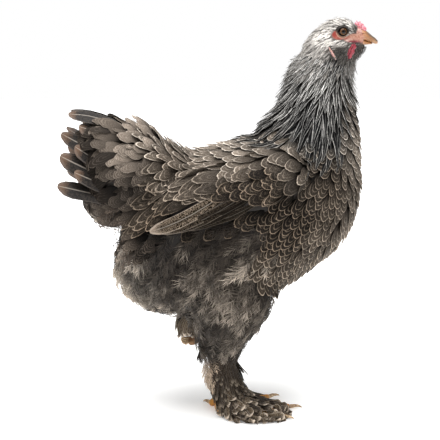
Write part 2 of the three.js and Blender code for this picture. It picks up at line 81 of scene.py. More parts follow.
def add(tree, kind, inputs=(), how=(), **settings):
    """Adds a shader node with its settings and what feeds it. For sums, how is the operation. For
    a ramp it is the stops, each a position and a grey level or a hex colour."""
    made = tree.nodes.new("ShaderNode" + kind)
    if kind == "Mix":
        made.data_type = "RGBA"
    if isinstance(how, str):
        made.operation, how = how, ()
    for name, value in settings.items():
        setattr(made, name, value)
    marks = made.color_ramp.elements if how else ()
    while len(marks) < len(how):
        marks.new(0.5)
    for mark, (position, value) in zip(marks, how):
        mark.position = position
        mark.color = linear(value) if isinstance(value, str) else (value, value, value, 1)
    feed(tree, made, inputs)
    return made


def surface(name, **inputs):
    """A new material with one Principled shader that has these inputs."""
    material = bpy.data.materials.new(name)
    material.use_nodes = True
    shader = material.node_tree.nodes["Principled BSDF"]
    feed(material.node_tree, shader, {name.replace("_", " "): inputs[name] for name in inputs})
    return material, material.node_tree, shader


def marked(mesh, name, values):
    """Stores a number, a vector or a colour at each corner of a mesh."""
    kind, key = {1: ("FLOAT", "value"), 3: ("FLOAT_VECTOR", "vector"),
                 4: ("FLOAT_COLOR", "color")}[1 if values.ndim == 1 else values.shape[1]]
    layer = mesh.attributes.new(name, kind, "POINT")
    layer.data.foreach_set(key, values.astype(np.float32).ravel())


def place(name, mesh, material=None, smooth=True):
    """A new object at the origin that holds this mesh."""
    made = bpy.data.objects.new(name, mesh)
    bpy.context.scene.collection.objects.link(made)
    if material:
        mesh.materials.clear()
        mesh.materials.append(material)
    if smooth:
        mesh.shade_smooth()
    return made


PAPER_REACH = 4.0
paper, tree, shader = surface("matt white paper", Roughness=0.9, Specular_IOR_Level=0.1,
                              Base_Color="#f4f4f3", Emission_Color="#ffffff")
where = add(tree, "TexCoord").outputs["Object"]
far = add(tree, "VectorMath", [where], "LENGTH")
# Painted glow: the paper emits light, faint under the bird and full far from it.
painted_glow = add(tree, "MapRange", {"Value": far, "From Min": -0.35, "From Max": 1.0, "To Max": 1.0},
           interpolation_type="SMOOTHSTEP")
feed(tree, shader, {"Emission Strength": painted_glow})
turns = np.arange(96) / 96 * 2 * math.pi
rim = [(PAPER_REACH * math.cos(a), PAPER_REACH * math.sin(a), 0.0) for a in turns]
sheet = bpy.data.meshes.new("floor")
sheet.from_pydata(rim, [], [tuple(range(len(rim)))])
place("floor", sheet, paper, smooth=False)

BIRD_MIDDLE = Vector((0, 0, 0.26))
SOFT_BOXES = {  # place, size and power of each
    "overhead box": ((-0.1, -0.45, 2.2), 1.9, 84.0),
    "key box": ((-1.2, -1.9, 1.6), 1.5, 17.0),
    "fill box": ((1.9, -1.5, 1.2), 1.6, 11.0),
    "rear box": ((0.6, 2.2, 1.6), 1.6, 14.0),
}
for name, (where, size, power) in SOFT_BOXES.items():
    box = bpy.data.lights.new(name, "AREA")
    box.shape = "SQUARE"
    box.size = size
    box.energy = power
    lamp = bpy.data.objects.new(name, box)
    lamp.location = where
    lamp.rotation_euler = (BIRD_MIDDLE - Vector(where)).to_track_quat("-Z", "Y").to_euler()
    bpy.context.scene.collection.objects.link(lamp)

world = bpy.data.worlds.new("white studio")
world.use_nodes = True
glow = world.node_tree.nodes["Background"]
glow.inputs["Color"].default_value = (1, 1, 1, 1)
backdrop = add(world.node_tree, "Background", {"Color": (1, 1, 1, 1), "Strength": 1.0})
ray = add(world.node_tree, "LightPath")
glow.inputs["Strength"].default_value = 0.33
seen = add(world.node_tree, "MixShader", [ray.outputs["Is Camera Ray"], glow, backdrop])
feed(world.node_tree, world.node_tree.nodes["World Output"], [seen])
bpy.context.scene.world = world
bpy.context.scene.view_settings.view_transform = "Standard"

CAMERA_PLACE = (2.73 * MM, -1.75, 0.6)
CAMERA_DIP = 11.06
lens = bpy.data.cameras.new("camera")
lens.sensor_width = 36
lens.lens = 112.0
camera = bpy.data.objects.new("camera", lens)
camera.location = CAMERA_PLACE
camera.rotation_euler = (math.radians(90 - CAMERA_DIP), 0, 0)
bpy.context.scene.collection.objects.link(camera)
bpy.context.scene.camera = camera

# ---------------------------------------------------------------- shape of the dressed bird
# The outside of the coat is one smooth closed form. Every feather is rooted under it and its
# tip comes up to it. It is worked out here in millimetres and isn't a piece of its own.

WINGS = ("wing_r", "wing_l", "wing_flights_r", "wing_flights_l")
TRUNK = ("head", "neck", "breast", "back", "belly", "fluff", "cushion", "undertail")
LEGS = ("thigh_r", "thigh_l", "shank_r", "shank_l")
SLIPPERS = ("slipper_r", "slipper_l")
TOES = ("foot_pad_r",) + tuple(
    f"toe_{toe}_{side}" for side in "rl" for toe in ("hind", "inner", "middle", "outer"))
FORM_VOXEL = 2.4
WELD = 0.35  # how far each node is pushed out, so that neighbours fuse
HEAD_STARTS = 440  # from here up the form keeps more of its shape when it is smoothed


def welded(names, grow=0.0):
    """Copies of CAD nodes as one mesh of merged corners, each pushed out by grow millimetres."""
    whole = bmesh.new()
    for name in names:
        part = bmesh.new()
        part.from_mesh(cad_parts[name].data)
        bmesh.ops.remove_doubles(part, verts=part.verts, dist=0.001 * MM)
        part.normal_update()
        for corner in part.verts:
            corner.co += corner.normal * grow * MM
        shell = bpy.data.meshes.new("part")
        part.to_mesh(shell)
        part.free()
        whole.from_mesh(shell)
        bpy.data.meshes.remove(shell)
    mesh = bpy.data.meshes.new("welded")
    whole.to_mesh(mesh)
    whole.free()
    return mesh


def remeshed(mesh, voxel):
    """Corners in millimetres and four-sided faces of this mesh, fused into one skin."""
    holder = place("holder", mesh, smooth=False)
    fuse = holder.modifiers.new("fuse", "REMESH")
    fuse.mode = "VOXEL"
    fuse.voxel_size = voxel * MM
    result = bpy.data.meshes.new_from_object(
        holder.evaluated_get(bpy.context.evaluated_depsgraph_get()))
    points = np.zeros(len(result.vertices) * 3)
    result.vertices.foreach_get("co", points)
    faces = np.zeros(len(result.loops), int)
    result.loops.foreach_get("vertex_index", faces)
    bpy.data.objects.remove(holder)
    bpy.data.meshes.remove(result)
    return points.reshape(-1, 3) / MM, faces.reshape(-1, 4)


def smoothed(points, faces, rounds, share=0.5):
    """Moves each corner towards the middle of its neighbours. share is one number or one each."""
    edges = np.unique(np.sort(np.concatenate(
        [faces[:, (i, (i + 1) % 4)] for i in range(4)]), axis=1), axis=0)
    count = np.bincount(edges.ravel(), minlength=len(points))
    a, b = edges.T
    for _ in range(rounds):
        middle = np.stack([np.bincount(a, points[b, k], len(points))
                           + np.bincount(b, points[a, k], len(points)) for k in range(3)], 1)
        points = points + share * (middle / count[:, None] - points)
    return points


def unit(vectors):
    return vectors / np.maximum(np.linalg.norm(vectors, axis=-1, keepdims=True), 1e-9)


def corner_normals(points, faces):
    a, b, c, d = (points[faces[:, i]] for i in range(4))
    whole = np.cross(c - a, d - b)
    return unit(np.stack([sum(np.bincount(faces[:, i], whole[:, k], len(points))
                              for i in range(4)) for k in range(3)], 1))


form, form_faces = remeshed(welded(TRUNK + WINGS + LEGS + SLIPPERS, WELD), FORM_VOXEL)
on_head = np.clip((form[:, 2] - HEAD_STARTS) / 20, 0, 1)[:, None]
form = smoothed(form, form_faces, 14, 0.5 * (1 - 0.8 * on_head))
form_normals = corner_normals(form, form_faces)
form_tree = BVHTree.FromPolygons(form.tolist(), form_faces.tolist())

# ---------------------------------------------------------------- lie of the coat
# Feathers lie from the bill to the tail and down the legs. The chart gives, at named places of
# the bird's left half, which way they point, how deep the coat is, and how the plumage is
# coloured there: silver or brown, pale or dark. The pale or dark is partly the plumage's own and
# partly painted: painted light on the shoulder and back, painted shade under the wing.
# Between them it is blended.

CHART = {
    # place: (where), (which way), depth, silver, light
    "forehead": ((172, 5, 512), (-1, 0.1, 0.15), 1.4, 1.0, 0.9),
    "lore": ((174, 9, 504), (-1, 0.2, 0.25), 1.0, 1.0, 0.1),
    "brow": ((160, 14, 511), (-1, 0.1, 0.15), 1.4, 1.0, 1.0),
    "crown": ((150, 0, 519), (-1, 0, 0), 3.5, 1.0, 0.9),
    "crown side": ((140, 14, 509), (-0.95, 0.1, -0.3), 2.5, 1.0, 0.62),
    "nape top": ((126, 0, 507), (-0.8, 0, -0.6), 4, 1.0, 0.6),
    "ear": ((138, 21, 493), (-0.9, 0.1, -0.4), 2.2, 1.0, 1.2),
    "cheek, high": ((152, 20, 489), (-0.9, 0.1, -0.35), 1.2, 0.9, 0.85),
    "cheek": ((153, 20, 479), (-0.8, 0, -0.55), 1.4, 0.8, 0.0),
    "cheek, low": ((150, 20, 468), (-0.5, 0, -0.85), 2.0, 0.9, 0.05),
    "chin": ((180, 4, 475), (-0.6, 0, -0.8), 1.6, 0.8, 0.1),
    "throat": ((172, 0, 458), (-0.25, 0, -1), 4, 0.8, 0.4),
    "nape": ((108, 0, 472), (-0.6, 0, -0.8), 7, 1.0, 0.5),
    "neck side, high": ((136, 27, 455), (-0.42, 0, -0.9), 6, 1.0, 0.52),
    "neck rear, middle": ((86, 0, 430), (-0.5, 0, -0.85), 9, 1.0, 0.25),
    "neck side, middle": ((122, 42, 415), (-0.3, 0.1, -0.95), 8, 1.0, 0.0),
    "neck front, middle": ((172, 10, 415), (0, 0, -1), 6, 0.55, 0.45),
    "neck side, low": ((115, 60, 385), (-0.2, 0.15, -1), 9, 1.0, -0.1),
    "neck rear, low": ((62, 15, 392), (-0.75, 0.1, -0.6), 9, 0.9, 0.05),
    "upper breast": ((182, 10, 355), (-0.05, 0, -1), 7, 0.3, 1.6),
    "breast front": ((183, 10, 295), (-0.25, 0, -1), 8, 0.1, 0.6),
    "breast low": ((152, 10, 225), (-0.75, 0, -0.65), 9, 0.1, 1.1),
    "keel": ((90, 0, 160), (-0.8, 0, -0.5), 10, 0.1, 1.0),
    "breast side": ((125, 78, 310), (-0.6, 0.1, -0.8), 8, 0.1, 0.12),
    "breast behind": ((85, 98, 265), (-0.65, 0.1, -0.75), 8, 0.1, -0.3),
    "breast side, low": ((115, 75, 240), (-0.75, 0, -0.65), 8, 0.1, 0.3),
    # Painted light: the shoulder, lit from above, is made paler than its plumage.
    "shoulder": ((62, 60, 372), (-0.93, 0.15, -0.3), 8, 0.3, 1.9),
    "wing bend": ((100, 105, 340), (-0.9, 0, -0.4), 6, 0.2, 0.25),
    "wing top": ((30, 95, 348), (-0.92, 0, -0.38), 6, 0.1, 0.7),
    "wing middle": ((45, 118, 325), (-0.92, 0, -0.38), 6, 0.1, -0.15),
    "wing edge": ((35, 116, 303), (-0.92, 0, -0.38), 6, 0.1, -0.25),
    # Painted shade: the coat under the wing's lower edge is made nearly black, the wing's shadow.
    "under wing": ((10, 104, 276), (-0.6, 0.1, -0.8), 8, 0.05, -0.8),
    "wing rear": ((-30, 112, 300), (-0.86, 0, -0.5), 6, 0.1, 0.2),
    # Painted shade: the coat under the rear of the wing is darkened as well.
    "under wing, rear": ((-70, 92, 250), (-0.6, 0.1, -0.8), 8, 0.05, -0.5),
    # Painted light: the back, lit from above, is made paler too.
    "back": ((20, 0, 388), (-1, 0, -0.12), 9, 0.2, 1.25),
    "back side": ((0, 80, 355), (-0.9, 0.1, -0.4), 8, 0.15, 1.0),
    "saddle": ((-50, 0, 372), (-1, 0, 0), 11, 0.1, 0.8),
    "saddle side": ((-60, 75, 330), (-0.78, 0, -0.62), 11, 0.1, 0.3),
    "cushion front": ((-78, 20, 385), (-0.93, 0.1, 0.3), 13, 0.15, 0.8),
    "cushion top": ((-112, 0, 395), (-1, 0, 0.2), 12, 0.15, 0.9),
    "cushion side": ((-115, 62, 360), (-0.95, 0.1, -0.15), 12, 0.15, 0.75),
    "cushion side, low": ((-105, 70, 315), (-0.9, 0.1, -0.4), 12, 0.1, 0.1),
    "tail root": ((-155, 15, 375), (-1, 0.1, 0.15), 8, 0.1, 0.45),
    "tail middle": ((-160, 45, 335), (-0.97, 0.2, -0.15), 8, 0.1, 0.3),
    "behind wing": ((-92, 72, 285), (-0.97, 0.1, -0.25), 12, 0.05, 0.1),
    "undertail": ((-150, 40, 290), (-0.95, 0.1, -0.3), 10, 0.0, 0.12),
    "undertail, low": ((-120, 60, 255), (-0.85, 0.1, -0.5), 13, 0.0, 0.15),
    "fluff, rear": ((-140, 30, 210), (-0.75, 0.1, -0.65), 19, 0.1, 1.5),
    "fluff, low": ((-110, 30, 150), (-0.5, 0, -0.85), 19, 0.1, 1.0),
    "fluff, side": ((-60, 90, 200), (-0.45, 0.1, -0.9), 17, 0.1, 0.15),
    "fluff, high": ((-35, 100, 232), (-0.5, 0.1, -0.85), 14, 0.1, -0.4),
    "flank": ((0, 96, 200), (-0.35, 0.1, -0.95), 15, 0.1, 0.0),
    "flank, front": ((58, 85, 200), (-0.35, 0.05, -0.95), 12, 0.1, 0.2),
    "belly": ((0, 0, 135), (-0.7, 0, -0.7), 13, 0.1, 0.5),
    "thigh, front": ((55, 50, 150), (-0.15, 0.05, -1), 11, 0.1, -0.05),
    "thigh": ((0, 45, 130), (-0.1, 0.05, -1), 13, 0.1, -0.35),
    "hock": ((0, 20, 92), (-0.05, 0, -1), 9, 0.1, -0.2),
    "shank": ((5, 12, 60), (0.1, 0.05, -1), 9, 0.1, 0.35),
    "foot": ((30, 15, 25), (0.6, 0.25, -0.8), 12, 0.1, 0.2),
}
chart_places = np.array([row[0] for row in CHART.values()], float)
chart_lies = unit(np.array([row[1] for row in CHART.values()], float))
chart_values = np.array([row[2:] for row in CHART.values()], float)
# The millimetres within which a named place counts fully: less on the face than on the body.
chart_blur = np.interp(chart_places[:, 2], [445, 475], [10.0, 4.5])


def charted(points):
    """Which way feathers point here, and the coat's depth, silver and light."""
    folded = points.copy()
    folded[:, 1] = np.abs(folded[:, 1])
    apart = ((folded[:, None, :] - chart_places[None]) ** 2).sum(2)
    weights = (chart_blur / (apart + chart_blur ** 2)) ** 2
    weights /= weights.sum(1, keepdims=True)
    lie = weights @ chart_lies
    lie[:, 1] *= np.where(points[:, 1] < 0, -1, 1)
    return unit(lie), *(weights @ chart_values).T

# ---------------------------------------------------------------- skin
# One thin skin covers the bird from the bill to the toes. It is bare and pink round the eyes,
# scaled and yellow on the toes, and carries the coat's own greys and browns everywhere else.

UNWRAP_VOXEL = 7.0

# The skin's own shape, unwrapped once. Each feather's patch in its bake map lies where its
# root lies on it.
chart_mesh = bpy.data.meshes.new("unwrap")
chart_mesh.from_pydata((form * MM).tolist(), [], form_faces.tolist())
coarse, coarse_faces = remeshed(chart_mesh, UNWRAP_VOXEL)
chart_mesh = bpy.data.meshes.new("unwrap")
chart_mesh.from_pydata(coarse.tolist(), [], coarse_faces.tolist())
unwrapped = place("unwrap", chart_mesh, smooth=False)
bpy.context.view_layer.objects.active = unwrapped
unwrapped.select_set(True)
chart_mesh.uv_layers.new(name="skin")
bpy.ops.object.mode_set(mode="EDIT")
bpy.ops.mesh.select_all(action="SELECT")
bpy.ops.uv.smart_project(angle_limit=math.radians(66), island_margin=0.004)
bpy.ops.object.mode_set(mode="OBJECT")
skin_map = np.zeros(len(chart_mesh.loops) * 2)
chart_mesh.uv_layers["skin"].uv.foreach_get("vector", skin_map)
skin_map = skin_map.reshape(-1, 4, 2)
coarse_tree = BVHTree.FromPolygons(coarse.tolist(), coarse_faces.tolist())
bpy.data.objects.remove(unwrapped)

SKIN_VOXEL = 2.25
SCUTE = 3.1  # length of one of the horny plates along a toe
TOE_CENTRE = (4.7, 0.0)  # where the toes of the standing foot meet
BILL_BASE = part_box("beak_upper")[0][0] / MM
CERE_END = BILL_BASE + 10.5  # the soft skin laps over the bill's base up to here
CERE_DEPTH = 1.1
EYE_RADIUS = 7.0
EYE_MIDDLE = np.array([sum(c[0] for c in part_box("eye_r")) / 2 / MM, 0,
                       sum(c[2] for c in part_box("eye_r")) / 2 / MM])
EYE_MIDDLE[1] = (-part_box("eye_r")[0][1] - EYE_RADIUS * MM) / MM  # its outermost point is known
LID_OPENING = (5.5, 4.8)   # half width and half height between the lids
TUBE_SIDES = 12
SHANK_LINES = (((0, -16, 96), (4, -12, 50), (8, -4, 9), 8.0),
               ((-34, 40, 150), (-33, 40, 125), (-31, 40, 108), 8.0))


def thick_line(points, radius):
    """A closed tube with round ends along a few points."""
    path = np.array(points, float)
    rings, faces = [], []
    for i, point in enumerate(path):
        ahead = unit(path[min(i + 1, len(path) - 1)] - path[max(i - 1, 0)])
        side = unit(np.cross(ahead, (0.1, 1.0, 0.2)))
        other = np.cross(ahead, side)
        turns = np.arange(TUBE_SIDES) / TUBE_SIDES * 2 * math.pi
        rings.append(point + radius * (np.cos(turns)[:, None] * side
                                       + np.sin(turns)[:, None] * other))
    for r in range(len(path) - 1):
        faces += [(r * TUBE_SIDES + s, r * TUBE_SIDES + (s + 1) % TUBE_SIDES,
                   (r + 1) * TUBE_SIDES + (s + 1) % TUBE_SIDES, (r + 1) * TUBE_SIDES + s)
                  for s in range(TUBE_SIDES)]
    faces.append(tuple(range(TUBE_SIDES - 1, -1, -1)))
    faces.append(tuple((len(path) - 1) * TUBE_SIDES + s for s in range(TUBE_SIDES)))
    return np.concatenate(rings), faces


thickness = []
for point, normal in zip(form.tolist(), form_normals.tolist()):
    start = Vector(point) - Vector(normal) * 0.5
    hit = form_tree.ray_cast(start, -Vector(normal), 120)
    thickness.append(hit[3] if hit[0] else 120.0)
form_depth = np.minimum(charted(form)[1], 0.36 * np.array(thickness))
form_depth = smoothed(np.repeat(form_depth[:, None], 3, 1), form_faces, 6)[:, :1]
under_coat = bpy.data.meshes.new("under coat")
core = smoothed(form - form_normals * form_depth, form_faces, 4)
solid = bmesh.new()
for corners, faces in [(core, form_faces.tolist())] + [
        thick_line(line[:3], line[3]) for line in SHANK_LINES]:
    made = [solid.verts.new(p * MM) for p in corners]
    for face in faces:
        solid.faces.new([made[i] for i in face])
bmesh.ops.recalc_face_normals(solid, faces=solid.faces)
solid.from_mesh(welded(TOES, 0.2))
cere = welded(("beak_upper", "beak_lower"), CERE_DEPTH)
for corner in cere.vertices:
    corner.co.x = min(corner.co.x, CERE_END * MM)
solid.from_mesh(cere)
solid.to_mesh(under_coat)
solid.free()
skin_points, skin_faces = remeshed(under_coat, SKIN_VOXEL)
toes = np.minimum(1, np.maximum(0, 22 - skin_points[:, 2]) / 8)[:, None]
skin_points = smoothed(skin_points, skin_faces, 3, 0.5 * (1 - 0.7 * toes))
skin_points[:, 2] = np.where(skin_points[:, 2] < 0.9, 0.0, skin_points[:, 2])

shell = bpy.data.meshes.new("skin")
shell.from_pydata((skin_points * MM).tolist(), [], skin_faces.tolist())
fine = bmesh.new()
fine.from_mesh(shell)
for reach in (21, 15):
    near = [f for f in fine.faces if min(
        (f.calc_center_median() / MM - Vector(EYE_MIDDLE * (1, s, 1) + (2, s * 5, -2))).length
        for s in (1, -1)) < reach]
    edges = list({e for f in near for e in f.edges})
    bmesh.ops.subdivide_edges(fine, edges=edges, cuts=1, use_grid_fill=True, smooth=0.6)
bmesh.ops.triangulate(fine, faces=[f for f in fine.faces if len(f.verts) > 4])
fine.to_mesh(shell)
fine.free()
count = len(shell.vertices)
skin_points = np.zeros(count * 3)
shell.vertices.foreach_get("co", skin_points)
skin_points = skin_points.reshape(-1, 3) / MM


def from_eye(points):
    """How far each place lies from the middle of the nearer eye: ahead, above, and as a share
    of the lids' opening."""
    ahead, above = points[:, 0] - EYE_MIDDLE[0], points[:, 2] - EYE_MIDDLE[2]
    return ahead, above, np.hypot(ahead / LID_OPENING[0], above / LID_OPENING[1])


ahead, above, opening = from_eye(skin_points)
outward = np.abs(skin_points[:, 1])
by_eye = (np.hypot(ahead, above) < 11) & (outward > 9)
rim = math.sqrt((EYE_RADIUS + 0.55) ** 2 - LID_OPENING[0] ** 2)
profile_at = np.array([0.0, 0.9, 1.0, 1.12, 1.24, 1.36, 1.52, 1.75])
profile = np.array([-4.0, -1.2, 0.0, 0.75, 0.4, 0.8, 0.5, 0.7]) + rim
profile_above = np.array([-4.0, -1.2, 0.0, 0.9, 1.3, 1.2, 1.0, 0.7]) + rim
blend = np.clip((opening - 1.2) / 0.65, 0, 1)
blend = blend * blend * (3 - 2 * blend)
upper = np.clip(above / 3 + 0.5, 0, 1)
lid = EYE_MIDDLE[1] + np.interp(opening, profile_at, profile) * (1 - upper) + np.interp(
    opening, profile_at, profile_above) * upper
creases = 0.25 * np.sin(opening * 14.0) * np.clip((opening - 1.2) * 3, 0, 1) * np.clip(
    2.2 - opening, 0, 1)
shaped = lid * (1 - blend) + (outward + creases) * blend
skin_points[:, 1] = np.where(by_eye, np.sign(skin_points[:, 1]) * shaped, skin_points[:, 1])
shell.vertices.foreach_set("co", (skin_points * MM).ravel())


BARE = (  # the bare patches of the face: ahead and above of the eye, and their reaches
    (-4.5, -4.0, 9.0, 6.2),
    (14.0, -8.6, 12.5, 5.6),
    (26.0, -4.0, 8.5, 11.0),
)
FLUSH = (  # how the bare face is coloured: ahead, above, reaches, colour
    (12.0, -7.5, 12.0, 5.0, "#a8806f"),
    (2.0, -11.4, 9.0, 3.4, "#c4aba1"),
    (-9.6, -3.4, 5.0, 5.0, "#8a392f"),
    (-1.5, -8.2, 9.0, 2.8, "#8f4f43"),
    (14.5, -14.2, 10.0, 3.2, "#6b1f2a"),
    (20.5, -12.6, 3.5, 2.2, "#96424d"),
    (26.0, 3.0, 8.0, 5.0, "#c9afa5"),
    (25.0, -8.0, 8.0, 5.0, "#b58b78"),
    (27.5, -3.4, 3.2, 1.2, "#7d4234"),
)
HOOD = (0.5, 3.4, 10.8, 7.2)  # the dark upper lid and the shade over the eye


def bareness(points):
    """1 on the bare pink face, 0 where feathers grow."""
    ahead, above, opening = from_eye(points)
    near = opening / (1.5 - 0.22 * np.clip(above / 3, 0, 1))
    for x, z, wide, tall in BARE:
        near = np.minimum(near, np.hypot((ahead - x) / wide, (above - z) / tall))
    side = np.abs(points[:, 1]) > 3
    return np.clip((1.1 - near) / 0.2, 0, 1) * side * (points[:, 2] > 470) * (points[:, 0] > 120)


_, _, silver, light = charted(skin_points)
marked(shell, "tone", np.stack([silver, light, np.full(count, 0.5), bareness(skin_points)], 1))
ahead, above, opening = from_eye(skin_points)
colours = np.tile(linear("#ab8274"), (count, 1))
for x, z, wide, tall, flush in FLUSH:
    share = np.clip(1.4 - np.hypot((ahead - x) / wide, (above - z) / tall), 0, 0.9) / 0.9
    colours += (np.array(linear(flush)) - colours) * (share * share * (3 - 2 * share))[:, None]
marked(shell, "flush", colours)
low_on_leg = np.clip((26 - skin_points[:, 2]) / 5, 0, 1)
along_toe = np.hypot(skin_points[:, 0] - TOE_CENTRE[0], skin_points[:, 1] - TOE_CENTRE[1])
fist = np.clip((121 - skin_points[:, 2]) / 4, 0, 1) * (skin_points[:, 1] > 20) * (
    skin_points[:, 2] > 70) * (skin_points[:, 0] < -10)
shadowed = np.clip((1.14 - np.hypot((ahead - HOOD[0]) / HOOD[2],
                                    (above - HOOD[1]) / HOOD[3])) / 0.28, 0, 1)
marked(shell, "orbit", np.stack(
    [np.clip(np.hypot(ahead, above) / 15, 0, 1), low_on_leg, fist, shadowed], 1))
marked(shell, "scutes", along_toe / SCUTE)


def relieved(tree, shader, colour, height, strength, depth):
    """Gives a surface its colour, and a relief this many millimetres deep."""
    bump = add(tree, "Bump", {"Height": height, "Strength": strength, "Distance": depth * MM})
    feed(tree, shader, {"Base Color": colour, "Normal": bump})


# Living skin: soft, slightly greasy, with light scattering under it. Where feathers hide it,
# it is stained with the coat's own colours, and on the toes it is hard yellow scale.
skin_matter, tree, shader = surface(
    "bird skin", Roughness=0.5, Specular_IOR_Level=0.22, Subsurface_Weight=0.12,
    Subsurface_Scale=1.2 * MM)
where = add(tree, "TexCoord").outputs["Object"]
tone = add(tree, "Attribute", attribute_name="tone")
parts = add(tree, "SeparateColor", [tone]).outputs
orbits = add(tree, "Attribute", attribute_name="orbit")
orbit_parts = add(tree, "SeparateColor", [orbits]).outputs
blotch = add(tree, "TexNoise", {"Vector": where, "Scale": 420.0, "Detail": 3.0})
coat = add(tree, "Mix", [parts[0], "#17110d", "#34312e"])
pale_coat = add(tree, "Mix", [parts[0], "#4a4038", "#7d7872"])
half_lit = add(tree, "Math", [parts[1], 0.5], "MULTIPLY")
coat = add(tree, "Mix", [half_lit, coat, pale_coat])
flush = add(tree, "Attribute", attribute_name="flush")
mottle = add(tree, "ValToRGB", [blotch], [(0.34, "#c9a9a0"), (0.62, "#ffffff")])
pink = add(tree, "Mix", [0.8, flush, mottle], blend_type="MULTIPLY")
lids = add(tree, "ValToRGB", [orbit_parts[0]], [
    (0.36, "#140d08"), (0.393, "#241a12"), (0.413, "#5a4635"), (0.433, "#7f6551"),
    (0.46, "#6b4f40"), (0.513, "#7a5c4c"), (0.547, "#a98877"), (0.6, "#966c5d")])
ring = add(tree, "ValToRGB", [orbit_parts[0]], [(0.54, 1.0), (0.62, 0.0)])
pink = add(tree, "Mix", [ring, pink, lids])
hood = add(tree, "ValToRGB", [orbit_parts[0]], [
    (0.38, "#0b0705"), (0.5, "#120d09"), (0.66, "#1f1913")])
colour = add(tree, "Mix", [tone.outputs["Alpha"], coat, pink])
hooded = add(tree, "Math", [orbits.outputs["Alpha"], 0.92], "MULTIPLY")
colour = add(tree, "Mix", [hooded, colour, hood])
yellow = add(tree, "Mix", [blotch, "#a8702f", "#d79a4e"])
scutes = add(tree, "Attribute", attribute_name="scutes").outputs["Fac"]
plate = add(tree, "Math", [scutes], "FRACT")
seam = add(tree, "ValToRGB", [plate], [(0.0, 0.0), (0.16, 1.0), (0.84, 1.0), (1.0, 0.0)])
yellow = add(tree, "Mix", [seam, "#6f4a22", yellow])
colour = add(tree, "Mix", [orbit_parts[1], colour, yellow])
sole = add(tree, "Mix", [blotch, "#5f4630", "#a98460"])
colour = add(tree, "Mix", [orbit_parts[2], colour, sole])
pores = add(tree, "TexVoronoi", {"Vector": where, "Scale": 900.0})
wrinkles = add(tree, "TexNoise", {"Vector": where, "Scale": 1100.0, "Detail": 2.0})
relief = add(tree, "Math", [pores, wrinkles], "ADD")
seams = add(tree, "Math", [seam, orbit_parts[1]], "MULTIPLY")
relief = add(tree, "Math", [seams, 2.5, relief], "MULTIPLY_ADD")
relieved(tree, shader, colour, relief, 0.35, 0.35)

skin = place("skin", shell, skin_matter)
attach(skin, "root")
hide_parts(*TRUNK, *WINGS[:2], *LEGS, *TOES)

# ---------------------------------------------------------------- eyes
# Each eye is a moist ball under the lids: a black pupil in a bay iris, ringed with dark brown,
# behind a clear domed cornea. It stays its own CAD ball's size and place.

IRIS_HALF = 4.8
PUPIL_HALF = 2.2
eye_matter, tree, shader = surface("moist eyeball", Roughness=0.05, Specular_IOR_Level=0.35,
                                   IOR=1.38)
gaze = add(tree, "Attribute", attribute_name="gaze")
across = add(tree, "SeparateXYZ", [gaze.outputs["Vector"]]).outputs
where = add(tree, "TexCoord").outputs["Object"]
fibres = add(tree, "TexNoise", {"Vector": where, "Scale": 1500.0, "Detail": 3.0})
edge = IRIS_HALF / 10
iris = add(tree, "ValToRGB", [across[0]], [
    (0.0, "#020101"), (PUPIL_HALF / 10 - 0.01, "#030202"), (PUPIL_HALF / 10 + 0.012, "#33200f"),
    (edge * 0.62, "#332012"), (edge * 0.74, "#74502d"), (edge * 0.85, "#3e2715"),
    (edge, "#150d08"), (0.62, "#0c0806")])
colour = add(tree, "Mix", [add(tree, "Math", [fibres, 0.4], "MULTIPLY"), iris, "#3a2212"],
             blend_type="MULTIPLY")
feed(tree, shader, {"Base Color": colour})
for side, mark in ((-1, "r"), (1, "l")):
    ball = bmesh.new()
    bmesh.ops.create_uvsphere(ball, u_segments=48, v_segments=32, radius=EYE_RADIUS)
    points = np.array([v.co[:] for v in ball.verts])
    aim = unit(np.array([0.16, side, 0.0]))
    along = points @ aim
    off = np.linalg.norm(points - along[:, None] * aim, axis=1)
    cornea = np.clip(1 - (off / (IRIS_HALF + 0.4)) ** 2, 0, 1) * (along > 0) * 0.55
    for corner, point, bulge in zip(ball.verts, points, cornea):
        moved = point + aim * bulge + EYE_MIDDLE * (1, side, 1)
        corner.co = Vector(moved) * MM
    ball.verts.index_update()
    # The sphere tool lists its faces in another order each run, so they are sorted.
    faces = sorted([corner.index for corner in face.verts] for face in ball.faces)
    eyeball = bpy.data.meshes.new("eyeball")
    eyeball.from_pydata([corner.co[:] for corner in ball.verts], [], faces)
    ball.free()
    seen = np.where(along > 0, off, 9.0) / 10
    marked(eyeball, "gaze", np.stack([seen, seen * 0, seen * 0], 1))
    eye = place(f"eyeball_{mark}", eyeball, eye_matter)
    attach(eye, "root")
    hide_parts(f"eye_{mark}")

# ---------------------------------------------------------------- comb, wattles and ear lobes
# A pea comb is three rows of small fleshy beads, the middle row the highest. The wattles are two
# thin red folds under the bill, and each ear lobe is a pale pink fold behind the cheek.


DEEP_HOLLOW = 0.16  # millimetres under the surface round it


def refined(names, voxel, rounds, grow=0.0):
    """Finer, rounder copies of CAD nodes, as corners in millimetres and faces."""
    points, faces = remeshed(welded(names, grow), voxel)
    return smoothed(points, faces, rounds), faces


def whole_piece(name, points, faces, material, slot, *nodes):
    """A piece of its own that stands for these CAD nodes, with its hollows marked for painted
    shade.
    """
    mesh = bpy.data.meshes.new(name)
    mesh.from_pydata((points * MM).tolist(), [], faces.tolist())
    sunk = ((smoothed(points, faces, 4) - points) * corner_normals(points, faces)).sum(1)
    marked(mesh, "hollow", np.clip(sunk / DEEP_HOLLOW, 0, 1))
    made = place(name, mesh, material)
    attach(made, "root")
    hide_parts(*nodes)
    return made


